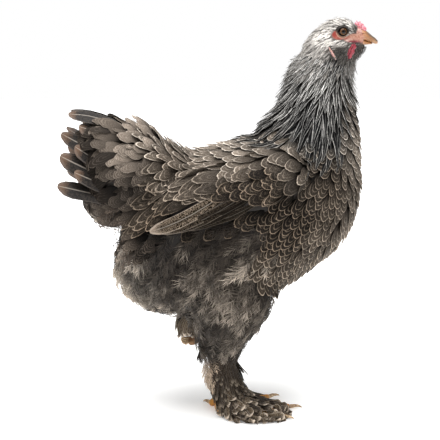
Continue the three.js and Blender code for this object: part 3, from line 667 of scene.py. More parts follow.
def fleshy(name, pale, deep, hollow_shade_colour, scale, roughness):
    """Blood-filled skin: waxy, warm, with painted shade in its hollows, and fine pimples."""
    material, tree, shader = surface(name, Roughness=roughness, Specular_IOR_Level=0.45,
                                     Subsurface_Weight=0.25, Subsurface_Scale=1.5 * MM)
    where = add(tree, "TexCoord").outputs["Object"]
    patches = add(tree, "TexNoise", {"Vector": where, "Scale": scale, "Detail": 3.0})
    mix = add(tree, "ValToRGB", [patches], [(0.38, 0.35), (0.62, 1.0)])
    hollow = add(tree, "Attribute", attribute_name="hollow").outputs["Fac"]
    # Painted shade: the flesh is darkest in its hollows.
    colour = add(tree, "Mix", [hollow, add(tree, "Mix", [mix, deep, pale]), hollow_shade_colour])
    grain = add(tree, "TexVoronoi", {"Vector": where, "Scale": 1300.0})
    relieved(tree, shader, colour, grain, 0.4, 0.3)
    return material


comb_flesh = fleshy("comb flesh", "#d18f95", "#b4586a", "#7a2636", 300.0, 0.42)
wattle_flesh = fleshy("wattle flesh", "#952f3d", "#6c1a25", "#2b0509", 260.0, 0.38)
lobe_flesh = fleshy("ear lobe flesh", "#bf9b93", "#9b726b", "#613a36", 300.0, 0.45)
points, faces = refined(["comb"], 0.55, 4)
beads = np.cos(points[:, 0] * 2 * math.pi / 4.0) * np.cos(points[:, 1] * 2 * math.pi / 5.0)
crest = np.clip((points[:, 2] - 503) / 3, 0, 1)[:, None]
points = points + corner_normals(points, faces) * (0.7 * beads[:, None] - 0.2) * crest
points = smoothed(points, faces, 2)
whole_piece("pea_comb", points, faces, comb_flesh, "comb", "comb")
LOBE_STANDS_OUT = 1.7
LOBE_SLIMMER = 0.52
WATTLE_LEAN = 0.46  # millimetres forward for each one up
for side, out in (("r", -1), ("l", 1)):
    points, faces = refined([f"wattle_{side}"], 0.55, 2, 0.6)
    middle = points.mean(0)
    up = points[:, 2] - middle[2]
    across = points[:, 0] - middle[0] - up * WATTLE_LEAN
    groove = np.exp(-((across + 0.9) / 0.9) ** 2)
    outer = points[:, 1] * out > middle[1] * out
    fold = np.sin(up * 1.0 + across * 0.5) * 0.4 - 1.5 * groove * outer
    points = points + corner_normals(points, faces) * fold[:, None]
    points[:, 1] += out * 1.4
    whole_piece(f"wattle_fold_{side}", smoothed(points, faces, 1), faces, wattle_flesh, "comb",
                f"wattle_{side}")
    points, faces = refined([f"earlobe_{side}"], 0.6, 3)
    fold = np.sin(points[:, 2] * 0.9 - points[:, 0] * 1.1) * 0.3
    points = points + corner_normals(points, faces) * fold[:, None]
    points[:, 1] += out * LOBE_STANDS_OUT
    middle = points.mean(0)
    lean = (points[:, 2] - middle[2]) * -0.6
    points[:, 0] = middle[0] + lean + (points[:, 0] - middle[0] - lean) * LOBE_SLIMMER
    whole_piece(f"ear_lobe_{side}", smoothed(points, faces, 1), faces, lobe_flesh, "lobe",
                f"earlobe_{side}")

# ---------------------------------------------------------------- bill
# Two sheaths of yellowish horn over the jaws, worn pale at the edges, with a brown stripe along
# the ridge. Each nostril is a slit under a horny flap near the base.

BILL_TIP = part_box("beak_upper")[1][0] / MM
RIDGE_LINE = 638.5  # 3/4 of the way ahead plus the height, where the dark stripe starts
horn, tree, shader = surface("bill horn", Roughness=0.36, Specular_IOR_Level=0.5,
                             Subsurface_Weight=0.1, Subsurface_Scale=1.0 * MM)
where = add(tree, "TexCoord").outputs["Object"]
spots = add(tree, "SeparateXYZ", [where]).outputs
toward_tip = add(tree, "MapRange", {
    "Value": spots[0], "From Min": BILL_BASE * MM, "From Max": BILL_TIP * MM})
streaks = add(tree, "TexNoise", {
    "Vector": add(tree, "Mapping", {"Vector": where, "Scale": (120, 700, 700)}),
    "Scale": 1.0, "Detail": 3.0})
base = add(tree, "ValToRGB", [toward_tip], [(0.0, "#b58b78"), (0.3, "#b98a6a"), (0.5, "#9c6d42"),
                               (0.72, "#92663e"), (0.9, "#ab845f"), (1.0, "#c4a283")])
base = add(tree, "Mix", [add(tree, "Math", [streaks, 0.5], "MULTIPLY"), base, "#8c6038"],
           blend_type="MULTIPLY")
slope = add(tree, "Math", [spots[0], 0.75, spots[2]], "MULTIPLY_ADD")
height = add(tree, "MapRange", {"Value": slope, "From Min": RIDGE_LINE * MM,
                                "From Max": (RIDGE_LINE + 3) * MM})
dark_end = add(tree, "ValToRGB", [toward_tip], [(0.4, 0.0), (0.6, 0.9), (1.0, 0.9)])
ridge = add(tree, "Math", [height, dark_end], "MULTIPLY")
colour = add(tree, "Mix", [ridge, base, "#4f4034"])
relieved(tree, shader, colour, streaks, 0.2, 0.3)

NOSTRIL = np.array([BILL_BASE + 9.5, 0, 499.0])
points, faces = refined(["beak_upper"], 0.5, 2, 0.42)
slit = np.hypot((points[:, 0] - NOSTRIL[0]) / 2.6,
                (points[:, 2] - NOSTRIL[2] + (points[:, 0] - NOSTRIL[0]) * 0.2) / 1.0)
flap = np.hypot((points[:, 0] - NOSTRIL[0] + 1) / 4.2, (points[:, 2] - NOSTRIL[2] - 1.4) / 1.6)
push = -1.3 * np.clip(1 - slit, 0, 1) + 0.6 * np.clip(1 - flap, 0, 1)
points[:, 1] += np.sign(points[:, 1]) * push * (np.abs(points[:, 1]) > 1.5)
whole_piece("bill_upper", points, faces, horn, "beak", "beak_upper")
points, faces = refined(["beak_lower"], 0.5, 2, 0.42)
whole_piece("bill_lower", points, faces, horn, "beak", "beak_lower")

# ---------------------------------------------------------------- claws
# Curved horn sheaths, brown and pale in streaks, with worn, thinner tips. Their roots are set
# into the ends of the toes.

claw_horn, tree, shader = surface("claw horn", Roughness=0.4, Specular_IOR_Level=0.5)
where = add(tree, "TexCoord").outputs["Object"]
grain = add(tree, "TexNoise", {"Vector": where, "Scale": 350.0, "Detail": 4.0})
streaked = add(tree, "ValToRGB", [grain], [(0.35, 0.0), (0.65, 1.0)])
colour = add(tree, "Mix", [streaked, "#836448", "#cdb48f"])
relieved(tree, shader, colour, grain, 0.3, 0.3)
CLAW_ROOT = 2.5  # how far the root of a claw is set into its toe
skin_tree = BVHTree.FromPolygons(skin_points.tolist(), skin_faces.tolist())
for side in "rl":
    names = [f"claw_{toe}_{side}" for toe in ("hind", "inner", "middle", "outer")]
    points, faces = refined(names, 0.55, 3)
    hits = [skin_tree.find_nearest(point) for point in points.tolist()]
    gaps = np.array([hit[3] for hit in hits])
    toward = unit(np.array([hit[0] for hit in hits]) - points)
    for name in names:
        low, high = (np.array(corner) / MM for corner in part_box(name))
        own = ((points > low - 0.4) & (points < high + 0.4)).all(1)
        nearest = gaps[own].min()
        drawn = np.clip(1 - (gaps[own] - nearest) / CLAW_ROOT, 0, 1)[:, None]
        way = unit((toward[own] * drawn).sum(0))
        points[own] += way * drawn * (nearest + CLAW_ROOT)
    whole_piece(f"claws_{side}", points, faces, claw_horn, "claw", *names)

# ---------------------------------------------------------------- feathers of the body
# Body feathers overlap like shingles, in rows from the head to the tail. Each is a thin vane on
# both sides of a shaft, domed across, with its root in the skin and its tip at the surface.

dice = np.random.default_rng(7)
BAKE_PATCH = 0.003
OFF_FLOOR = 0.4  # no feather lies lower than this
SHARP_FOLD = 70  # degrees between two faces that meet in an edge
MOST_LINES = 8.0  # pale lines that one feather can carry
MOST_TRIES = 7  # places tried for each feather that is kept, when they are spread

face_normals = unit(form_normals[form_faces].mean(1))
face_middles = form[form_faces].mean(1)
face_areas = np.linalg.norm(np.cross(
    form[form_faces[:, 2]] - form[form_faces[:, 0]],
    form[form_faces[:, 3]] - form[form_faces[:, 1]]), axis=1) / 2


def snapped(points):
    """The nearest places on the form, and the way that it faces there."""
    found = [form_tree.find_nearest(p) for p in points.tolist()]
    return np.array([f[0] for f in found]), face_normals[[f[2] for f in found]]


owner_names, owner_faces, owner_corners = [], [], []
for name in TRUNK + WINGS + LEGS + SLIPPERS:
    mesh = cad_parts[name].data
    first = len(owner_corners)
    owner_corners += [tuple(v.co / MM) for v in mesh.vertices]
    owner_faces += [tuple(first + i for i in p.vertices) for p in mesh.polygons]
    owner_names += [name] * len(mesh.polygons)
owner_tree = BVHTree.FromPolygons(owner_corners, owner_faces)
face_owner = np.array(owner_names)[[
    owner_tree.find_nearest(middle)[2] for middle in face_middles.tolist()]]


def owned(*names):
    """True for the faces of the form that lie on one of these CAD nodes."""
    return np.isin(face_owner, names)


def scattered(inside, spacing):
    """Places spread evenly over the faces where inside is true, at least spacing apart."""
    faces = np.flatnonzero(inside)
    apart = np.broadcast_to(spacing, len(form_faces))[faces]
    tries = face_areas[faces] / apart ** 2 * MOST_TRIES
    picked = np.repeat(faces, dice.poisson(tries))
    picked = picked[dice.permutation(len(picked))]
    u, v = dice.random((2, len(picked), 1))
    a, b, c, d = (form[form_faces[picked, i]] for i in range(4))
    points = (a * (1 - u) + b * u) * (1 - v) + (d * (1 - u) + c * u) * v
    gaps = np.broadcast_to(spacing, len(form_faces))[picked]
    cell = float(gaps.max()) if len(gaps) else 1.0
    taken, kept = {}, []
    near = [(i, j, k) for i in (-1, 0, 1) for j in (-1, 0, 1) for k in (-1, 0, 1)]
    for at, (point, gap) in enumerate(zip(points.tolist(), gaps.tolist())):
        x, y, z = (int(math.floor(c / cell)) for c in point)
        limit = gap * gap
        if all((point[0] - q[0]) ** 2 + (point[1] - q[1]) ** 2 + (point[2] - q[2]) ** 2 > limit
               for i, j, k in near for q in taken.get((x + i, y + j, z + k), ())):
            taken.setdefault((x, y, z), []).append(point)
            kept.append(at)
    return points[kept]


def marched(roots, length, steps, stiff, turn=0.0, lie=None):
    """Places, headings and facings at these steps (0 to 1) along feathers that follow the coat."""
    place, facing = snapped(roots)
    heading = unit(charted(place)[0] if lie is None else lie)
    heading = unit(heading - (heading * facing).sum(1, keepdims=True) * facing)
    side = np.cross(heading, facing)
    turn = np.broadcast_to(turn, len(roots))[:, None]
    heading = unit(heading * np.cos(turn) + side * np.sin(turn))
    places, headings, facings = [place], [heading], [facing]
    for before, after in zip(steps[:-1], steps[1:]):
        step = (np.broadcast_to(length, len(roots)) * (after - before))[:, None]
        ahead = place + heading * step
        onto, faces = snapped(ahead)
        onto = onto + (ahead - onto) * stiff
        facing = unit(faces + (facing - faces) * stiff)
        towards = charted(onto)[0] if lie is None else lie
        bend = unit(onto - place)
        side_pull = towards - (towards * facing).sum(1, keepdims=True) * facing
        heading = unit(bend + 0.35 * (1 - stiff) * unit(side_pull))
        heading = unit(heading - (heading * facing).sum(1, keepdims=True) * facing * 0.8)
        place = onto
        places.append(place)
        headings.append(heading)
        facings.append(facing)
    return np.stack(places, 1), np.stack(headings, 1), np.stack(facings, 1)


def bundled(roots, size):
    """A random number, the same for all feathers of one bundle about size millimetres across."""
    hubs = roots[scattered_rank(roots, size)]
    nearest = ((roots[:, None] - hubs[None]) ** 2).sum(2).argmin(1)
    return dice.normal(0, 1, len(hubs))[nearest]


def scattered_rank(roots, size):
    """Which roots to keep so that no two are nearer than size."""
    kept = []
    for at in dice.permutation(len(roots)):
        if not kept or ((roots[kept] - roots[at]) ** 2).sum(1).min() > size ** 2:
            kept.append(int(at))
    return kept


VANE_STEPS = np.array([0, 0.16, 0.34, 0.52, 0.68, 0.81, 0.91, 0.975, 1.0])
VANE_ACROSS = np.array([-1, -0.55, 0, 0.55, 1])
SMALL_STEPS = np.array([0, 0.3, 0.6, 0.85, 1.0])
SMALL_ACROSS = np.array([-1.0, 0.0, 1.0])
ROUND_TIP = 0.5   # where a rounded feather is widest, as a share of its length
POINT_TIP = 0.35  # and a pointed one


def rounded_outline(t):
    """Half width of a body feather along its length, as a share of the widest."""
    root = 0.22 + 0.78 * np.sin(np.clip(t / ROUND_TIP, 0, 1) * math.pi / 2)
    past = np.clip((t - ROUND_TIP) / (1 - ROUND_TIP), 0, 1)
    tip = np.sqrt(np.clip(1 - past ** 2.2, 0.05, 1))
    return np.where(t < ROUND_TIP, root, tip)


def pointed_outline(t):
    """Half width of a hackle feather along its length."""
    root = 0.3 + 0.7 * np.sin(np.clip(t / POINT_TIP, 0, 1) * math.pi / 2)
    tip = np.clip(1 - ((t - POINT_TIP) / (1 - POINT_TIP)), 0, 1) ** 0.75 * 0.94 + 0.06
    return np.where(t < POINT_TIP, root, tip)


def joined(name, points, pattern, material, maps, tones):
    """One mesh of many like shapes. points is shape by corner by xyz in millimetres, and
    pattern the faces of one shape. maps holds each UV map as shape by corner by two."""
    shapes, corners = points.shape[:2]
    face_sizes = np.array([len(face) for face in pattern])
    ring = np.concatenate([np.array(face) for face in pattern])
    loops = (ring[None] + (np.arange(shapes) * corners)[:, None]).ravel()
    starts = np.concatenate([[0], np.cumsum(np.tile(face_sizes, shapes))[:-1]])
    mesh = bpy.data.meshes.new(name)
    mesh.vertices.add(shapes * corners)
    mesh.vertices.foreach_set("co", (points * MM).astype(np.float32).ravel())
    mesh.loops.add(len(loops))
    mesh.loops.foreach_set("vertex_index", loops.astype(np.int32))
    mesh.polygons.add(len(starts))
    mesh.polygons.foreach_set("loop_start", starts.astype(np.int32))
    mesh.update(calc_edges=True)
    for title, values in maps.items():
        layer = mesh.uv_layers.new(name=title)
        layer.uv.foreach_set("vector", values.reshape(-1, 2)[loops].astype(np.float32).ravel())
    marked(mesh, "tone", tones)
    made = place(name, mesh, material)
    mesh.set_sharp_from_angle(angle=math.radians(SHARP_FOLD))
    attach(made, "root")
    return made


def vanes(name, roots, length, half_width, material, outline=rounded_outline,
          stiff=0.25, camber=0.2, lift=0.0, fray=0.05, wander=0.1, depth_share=1.0, lie=None,
          light=None, lines=2.0, small=False, path=None, thickness=0.3, scatter_height=0.5,
          roll=0.09, bundle=0.0):
    """Many feathers as one piece, each with its root at depth and its tip at the surface."""
    count = len(roots)
    drift = bundled(roots, 30.0) * bundle if bundle else np.zeros(count)
    steps, across = (SMALL_STEPS, SMALL_ACROSS) if small else (VANE_STEPS, VANE_ACROSS)
    length = np.broadcast_to(length, count) * dice.uniform(0.88, 1.12, count)
    half_width = np.broadcast_to(half_width, count) * dice.uniform(0.9, 1.1, count)
    turn = dice.normal(0, wander, count) + drift * 0.5
    places, headings, facings = path or marched(roots, length, steps, stiff, turn, lie)
    _, depth, silver, light_here = charted(places.reshape(-1, 3))
    depth = depth.reshape(count, -1) * depth_share
    rise = steps[None] ** 0.8
    loft = dice.normal(0, scatter_height, count) + drift * 7
    height = -depth * (1 - rise) + lift * steps[None] ** 2 + loft[:, None] * rise
    spine = places + facings * height[:, :, None]
    sides = unit(np.cross(headings, facings))
    widths = outline(steps)[None] * half_width[:, None]
    notch = 1 + np.minimum(0, dice.normal(0, fray, (2, *widths.shape))) * 2.5
    tilt = dice.normal(0, roll, (count, 1))
    layers = []
    for u in across:
        wide = widths * notch[int(u > 0)] if u else widths
        drop = -camber * wide * u * u + tilt * wide * u
        layers.append(spine + sides * (wide * u)[:, :, None] + facings * drop[:, :, None])
    under = spine - facings * (thickness + camber * widths * 0.35)[:, :, None]
    points = np.stack(layers + [under], 2)  # feather, row, corner across, xyz
    rows, wide = points.shape[1:3]
    points = points.reshape(count, rows * wide, 3)
    points[:, :, 2] = np.maximum(points[:, :, 2], OFF_FLOOR)
    last = len(across) - 1
    pattern = []
    for r in range(rows - 1):
        a, b = r * wide, (r + 1) * wide
        pattern += [(a + i, a + i + 1, b + i + 1, b + i) for i in range(last)]
        pattern += [(a + last, a + last + 1, b + last + 1, b + last),
                    (a + last + 1, a, b, b + last + 1)]
    pattern.append(tuple(range(last, -1, -1)) + (last + 1,))
    end = (rows - 1) * wide
    pattern.append(tuple(end + i for i in range(last + 1)) + (end + last + 1,))
    along = np.repeat(steps, wide)
    sideways = np.tile(np.append(across, 0.0), rows)
    if outline is rounded_outline:
        own = np.stack([sideways * outline(along), (along - ROUND_TIP) / (1 - ROUND_TIP)], 1)
    else:
        own = np.stack([sideways, along], 1)
    below = np.tile(np.append(np.zeros(len(across)), 0.08), rows)
    maps = {"vane": np.broadcast_to(own, (count, len(own), 2)),
            "OFBake": bake_map(roots, sideways, along - below)}
    light = light_here if light is None else np.broadcast_to(light, count).repeat(rows)
    tint = dice.random(count).repeat(rows * wide)
    tones = np.stack([silver.repeat(wide), light.repeat(wide), tint,
                      np.full(count * rows * wide, lines / MOST_LINES)], 1)
    return joined(name, points, pattern, material, maps, tones)


def bake_map(roots, sideways, along):
    """A small patch for each feather, at its root's place on the unwrapped skin."""
    centres = []
    for root in roots.tolist():
        where, _, face, _ = coarse_tree.find_nearest(root)
        near = 1 / (np.linalg.norm(coarse[coarse_faces[face]] - where, axis=1) + 0.5)
        centres.append((skin_map[face] * near[:, None]).sum(0) / near.sum())
    centres = np.array(centres)
    low, high = centres.min(0), centres.max(0)
    centres = BAKE_PATCH * 2 + (centres - low) / (high - low) * (1 - BAKE_PATCH * 4)
    inside = np.stack([sideways * 0.5, along - 0.5], 1) * BAKE_PATCH
    return centres[:, None] + inside[None]


def feather_inputs(tree):
    """What the matter of a feather reads: its place on the bird and on the vane, and its tone."""
    tone = add(tree, "Attribute", attribute_name="tone")
    silver, light, chance = add(tree, "SeparateColor", [tone]).outputs
    vane = add(tree, "UVMap", uv_map="vane")
    across, along, _ = add(tree, "SeparateXYZ", [vane]).outputs
    return SimpleNamespace(place=add(tree, "TexCoord").outputs["Object"], vane=vane,
                           across=across, along=along, silver=silver, light=light,
                           chance=chance, lines=tone.outputs["Alpha"])


# Body plumage is dull, dark brown-grey keratin barbs. Thin pale lines follow the outline of
# each feather inside one another, the outermost the palest. A noise of scale 1000 has grains
# about 1 mm across, so 330 bends the lines every 3 mm and 1300 flecks the vane every 0.8 mm.
def plumage(name, brown, brown_line, silver, silver_line, laced=False, strength=1.0, wobble=0.35,
            shine=0.06, inner=0.7, width=0.2, crescent=0.0, root_shade=0.25, varied=0.55,
            mottled=0.0, edge_at=0.8):
    """The matter of body feathers. Each colour is a pair, for dark and for pale plumage: brown
    and its lines, then silver and its lines. The dark and pale also carry painted shade and
    painted light where the chart gives them. A laced feather is pale along both edges."""
    material, tree, shader = surface(name, Roughness=0.65, Specular_IOR_Level=shine)
    feather = feather_inputs(tree)
    ripple = add(tree, "TexNoise", {"Vector": feather.place, "Scale": 330.0, "Detail": 2.0})
    bent = add(tree, "Math", [ripple, wobble, -wobble / 2], "MULTIPLY_ADD")
    if laced:  # pale along both edges, with a fine pale shaft
        off = add(tree, "Math", [feather.across], "ABSOLUTE")
        frayed = add(tree, "Math", [bent, 0.6, off], "MULTIPLY_ADD")
        wider = add(tree, "Math", [feather.light, 0.4, frayed], "MULTIPLY_ADD")
        edge = add(tree, "ValToRGB", [wider], [(edge_at, 0.0), (edge_at + 0.15, 1.0)])
        shaft = add(tree, "ValToRGB", [off], [(0.0, 0.5), (0.12, 0.0)])
        line = add(tree, "Math", [edge, shaft], "MAXIMUM")
        rootward = add(tree, "ValToRGB", [feather.along], [(0.05, 0.0), (0.4, 1.0)])
    else:
        tipward = add(tree, "Math", [feather.along, 0.0], "MAXIMUM")
        reach = add(tree, "CombineXYZ", [feather.across, tipward])
        radius = add(tree, "VectorMath", [reach], "LENGTH")
        count = add(tree, "Math", [feather.lines, MOST_LINES], "MULTIPLY")
        phase = add(tree, "Math", [add(tree, "Math", [1.0, radius], "SUBTRACT"), count, bent],
                    "MULTIPLY_ADD")
        line = add(tree, "ValToRGB", [add(tree, "Math", [phase], "FRACT")], [
            (0.0, 0.8), (width * 0.35, 1.0), (width, 0.0), (0.93, 0.0), (1.0, 0.8)])
        rim = add(tree, "ValToRGB", [radius], [(0.8, inner), (0.9, 1.0)])
        line = add(tree, "Math", [line, rim], "MULTIPLY")
        arc = add(tree, "ValToRGB", [feather.along], [(0.1, 1.0 - crescent), (0.75, 1.0)])
        line = add(tree, "Math", [line, arc], "MULTIPLY")
        grey_base_and_shade = add(tree, "Math", [feather.along, 0.4, 0.6], "MULTIPLY_ADD")
        rootward = add(tree, "ValToRGB", [grey_base_and_shade], [(0.3, 0.0), (0.9, 1.0)])
    broken = add(tree, "ValToRGB", [ripple], [(0.32, 0.45), (0.55, 1.0)])
    line = add(tree, "Math", [add(tree, "Math", [line, rootward], "MULTIPLY"), broken], "MULTIPLY")
    line = add(tree, "Math", [line, strength], "MULTIPLY")
    ground = add(tree, "Mix", [feather.silver, brown[0], silver[0]])
    lit_ground = add(tree, "Mix", [feather.silver, brown[1], silver[1]])
    ground = add(tree, "Mix", [feather.light, ground, lit_ground])
    pale = add(tree, "Mix", [feather.silver, brown_line[0], silver_line[0]])
    lit_pale = add(tree, "Mix", [feather.silver, brown_line[1], silver_line[1]])
    pale = add(tree, "Mix", [feather.light, pale, lit_pale])
    flecks = add(tree, "TexNoise", {"Vector": feather.place, "Scale": 1300.0, "Detail": 2.0})
    fleck = add(tree, "ValToRGB", [flecks], [(0.48, 0.0), (0.62, mottled)])
    ground = add(tree, "Mix", [fleck, ground, pale])
    colour = add(tree, "Mix", [line, ground, pale])
    # Each feather is darker towards its root: partly its own greyer base, partly painted shade in
    # the gaps between overlapping feathers. The tint varies each feather's tone at random.
    tint = add(tree, "Math", [feather.chance, varied, 1 - varied * 0.56], "MULTIPLY_ADD")
    tipward = add(tree, "Math", [rootward, 1 - root_shade, root_shade], "MULTIPLY_ADD")
    shade = add(tree, "Math", [tint, tipward], "MULTIPLY")
    colour = add(tree, "VectorMath", [colour, shade], "SCALE")
    barbs = add(tree, "TexWave", {"Vector": feather.vane, "Scale": 9.0, "Distortion": 1.5},
                wave_type="BANDS", bands_direction="DIAGONAL")
    relieved(tree, shader, colour, barbs, 0.25, 0.4)
    return material


body_vanes = plumage("pencilled feather keratin", ("#080604", "#665a4e"), ("#8a7865", "#dccebd"),
                     ("#100f0e", "#524e49"), ("#98938c", "#e2ddd6"), mottled=0.12, root_shade=0.15)
soft_vanes = plumage("fine pencilled feather keratin", ("#0d0a08", "#786b5f"),
                     ("#64584d", "#c6b8a9"), ("#1b1a19", "#6c6762"), ("#8a857f", "#d6d0c9"),
                     strength=0.6, wobble=1.6, inner=0.75, width=0.34, mottled=0.15,
                     root_shade=0.12, varied=0.75)
# Where one kind of feather ends and the next begins is given in millimetres ahead of the
# standing leg (X) and above the floor (Z).
X, Z = face_middles[:, 0], face_middles[:, 2]
WING = owned(*WINGS)
HACKLE_HEM = 380 + np.clip((110 - X) * 0.25, -8, 16)


def fluff_begins(points, extra=0.0):
    """True below the wing, behind the breast and down the legs, where the coat is soft fluff."""
    x, z = points[:, 0], points[:, 2]
    front = np.interp(z, [150, 166, 195, 250], [240, 76, 50, 56]) + extra
    return (x < front) & (z < 264 + 0.17 * x + extra)


def ends_clear(roots, length):
    """The roots of those feathers whose tips don't reach into the fluff."""
    lies = charted(roots)[0]
    tips = roots + lies * np.broadcast_to(length, len(roots))[:, None] * 0.8
    return roots[~fluff_begins(tips, -5)]


fluffy = (~WING & fluff_begins(face_middles, 14)) | owned("shank_r", "shank_l")
fluffy |= ~WING & (X > -60) & (X < 50) & (Z > 240) & (Z < 278 + 0.3 * X)  # under the wing
throat = owned("neck") & (X > 158 + np.maximum(0, Z - 400) * 0.18) & (Z < 428)
chest = ~WING & ~owned("head", "cushion", "undertail") & (
    X > np.where(Z < 310, 50, 62)) & (throat | ~owned("neck") | (Z < HACKLE_HEM))
upper_back = owned("back") & ~chest
BREAST_SIZE = ([150, 250, 400, 480], [8.6, 7.8, 6.2, 4.0])
roots = scattered(chest & ~owned("shank_r", "shank_l"), 7.9)
clear = ends_clear(roots, np.interp(roots[:, 2], *BREAST_SIZE) * 4.0)
size = np.interp(clear[:, 2], *BREAST_SIZE)
vanes("breast_coat", clear, size * 4.0, size, body_vanes, lines=2.4,
      bundle=0.06)
roots = ends_clear(scattered(upper_back, 9.5), 36)
crescents = plumage("crescent feather keratin", ("#080604", "#62564a"), ("#8a7865", "#e6d9ca"),
                    ("#151413", "#5a5651"), ("#98938c", "#e9e4dd"), inner=0.35, wobble=0.7,
                    crescent=0.6, width=0.24, mottled=0.2, root_shade=0.08,
                    varied=0.8)
vanes("back_coat", roots, 36, 8.6, crescents, lines=2.6, bundle=0.2)

# ---------------------------------------------------------------- wings
# Rows of coverts lap over the folded wing, each edged with a clear pale line. The long flight
# feathers slide under one another at its rear and lower edge.

COVERT_REACH = 30.0
covert_tips = face_middles + charted(face_middles)[0] * COVERT_REACH
covert_hem = np.interp(covert_tips[:, 0], [-40, 25, 60, 95], [303, 303, 293, 306])
covered = WING & (covert_tips[:, 0] > -38) & (covert_tips[:, 2] > covert_hem)
roots = scattered(covered, 8.8)
vanes("wing_coverts", roots, 36, 8.6, crescents, lines=2.7, stiff=0.45,
      lift=1.0, bundle=0.22, scatter_height=0.8, roll=0.14)

# ---------------------------------------------------------------- saddle, cushion and tail coverts
# Long round-ended feathers run from the lower back over the wing tips. Behind them a full,
# finely pencilled cushion rises to the tail.

saddle = (X < 30) & (X > -75) & (Z > 322) & ~owned("cushion", "head", "neck")
saddle |= WING & ~covered & (Z > np.interp(X, [-80, -40, 0, 40], [286, 302, 318, 400]))
roots = scattered(saddle, 10.5)
vanes("saddle_coat", roots, 60, 8.0, crescents, lines=3.0, stiff=0.4, lift=1.5,
      bundle=0.3, scatter_height=1.2, roll=0.16)
roots = scattered(owned("cushion"), 10.0)
vanes("cushion_coat", roots, 40, 9.6, soft_vanes, lines=5.8, stiff=0.5,
      bundle=0.5, scatter_height=1.8, roll=0.2, fray=0.12)
below_tail = (owned("undertail") | (owned("back", "fluff") & (X < -60))) & (
    Z > 262 + 0.17 * X)
roots = scattered(below_tail, 9.5)
vanes("undertail_coat", roots, 42, 9.5, soft_vanes, lines=5.6, stiff=0.6,
      bundle=0.4, scatter_height=1.6, roll=0.2, fray=0.14)

# ---------------------------------------------------------------- hackle
# The neck wears a cape of narrow pointed feathers, dark down the middle and silver along both
# edges. They start short and nearly silver behind the head and end long on the shoulders.

hackle_vanes = plumage("silver-edged hackle keratin", ("#0b0a0a", "#4c4843"),
                       ("#8d8881", "#d0cbc4"), ("#050607", "#33322f"), ("#999794", "#f4f1ec"),
                       laced=True, shine=0.08, wobble=0.4, root_shade=0.15, edge_at=0.72)
roots = scattered(owned("neck") & (Z > HACKLE_HEM) & ~throat,
                  np.interp(Z, [390, 420, 450, 480], [8.4, 6.6, 4.2, 2.6]))
grown = np.interp(roots[:, 2], [370, 400, 430, 455, 480], [1.15, 0.95, 0.7, 0.42, 0.26])
grown *= np.interp(roots[:, 0] - (roots[:, 2] - 400) * 0.1, [140, 165], [1.0, 0.7])
lit = np.minimum(charted(roots)[3], np.interp(roots[:, 2], [385, 415, 450, 480], [0, 0.1, 0.5, 1]))
half = 1.0 + 4.8 * np.minimum(grown, 1) ** 1.5
vanes("hackle", roots, 60 * grown, half, hackle_vanes,
      outline=pointed_outline, stiff=0.2, wander=0.24, camber=0.35, scatter_height=1.1, roll=0.2,
      bundle=0.14, light=lit, lift=3.0)

# ---------------------------------------------------------------- feathers of the head
# Short, narrow feathers cover the crown and cheeks, white behind the eye and grey below it.
# They leave the comb, the bill and the ring round the eye bare.

WATTLE, WATTLE_HALF = np.array([167.5, 476.5]), np.array([5.2, 11.0])
LOBE, LOBE_HALF = np.array([144.3, 474.6]), np.array([-6.4, 10.2])
LOWEST_FACE = 452
face_vanes = plumage("small face feather keratin", ("#1c1815", "#9a9188"), ("#6a5f56", "#e6e0d8"),
                     ("#171615", "#b6b0a9"), ("#6d6863", "#f3efe9"), laced=True, wobble=0.7,
                     root_shade=0.6, varied=0.9)
faced = owned("head") | (owned("neck") & (Z > LOWEST_FACE))
roots = scattered(faced, np.interp(X, [110, 140, 175], [2.4, 1.9, 1.5]))
grows = bareness(roots) < 0.45
for bare_part in ("comb", "beak_upper", "beak_lower"):
    low, high = (np.array(c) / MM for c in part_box(bare_part))
    near = (roots > low - 0.8) & (roots < high + 0.8)
    grows &= ~near.all(1)
grown = np.interp(roots[:, 0], [112, 150, 178], [14, 8, 4]) + np.interp(
    roots[:, 2], [450, 470, 500, 515], [5, 0, 0, 3])
lies = charted(roots)[0]
for shorter in (0.45, 0.0):  # feathers that would cross a wattle or a lobe stop short of it
    crosses = np.zeros(len(roots), bool)
    for middle, half in ((WATTLE, WATTLE_HALF), (LOBE, LOBE_HALF)):
        reach = np.linalg.norm(half)
        for share in (0.0, 0.4, 0.8, 1.1):
            reached = (roots + lies * grown[:, None] * share)[:, (0, 2)] - middle
            along = reached @ half / reach
            off = np.abs(reached @ np.array([-half[1], half[0]])) / reach
            crosses |= (off < 1.2) & (np.abs(along) < reach)
    grown = np.where(crosses, grown * shorter, grown)
grows &= grown > 0
roots, grown = roots[grows], grown[grows]
tousled = np.interp(roots[:, 2], [500, 512], [0.35, 1.1])
vanes("face_coat", roots, grown, np.interp(roots[:, 0], [115, 150, 178], [1.2, 0.85, 0.6]),
      face_vanes, outline=pointed_outline, small=True, camber=0.35,
      thickness=0.2, scatter_height=tousled, wander=0.3, roll=0.25, bundle=0.1)

# ---------------------------------------------------------------- fluff
# The belly, flanks, thighs and hocks carry loose soft plumes: a short shaft with long separate
# barbs on both sides that never hook together. They stand off the skin and shade one another.


CLOUD_SCALE = 60.0  # paler and darker clouds of down about 17 mm across


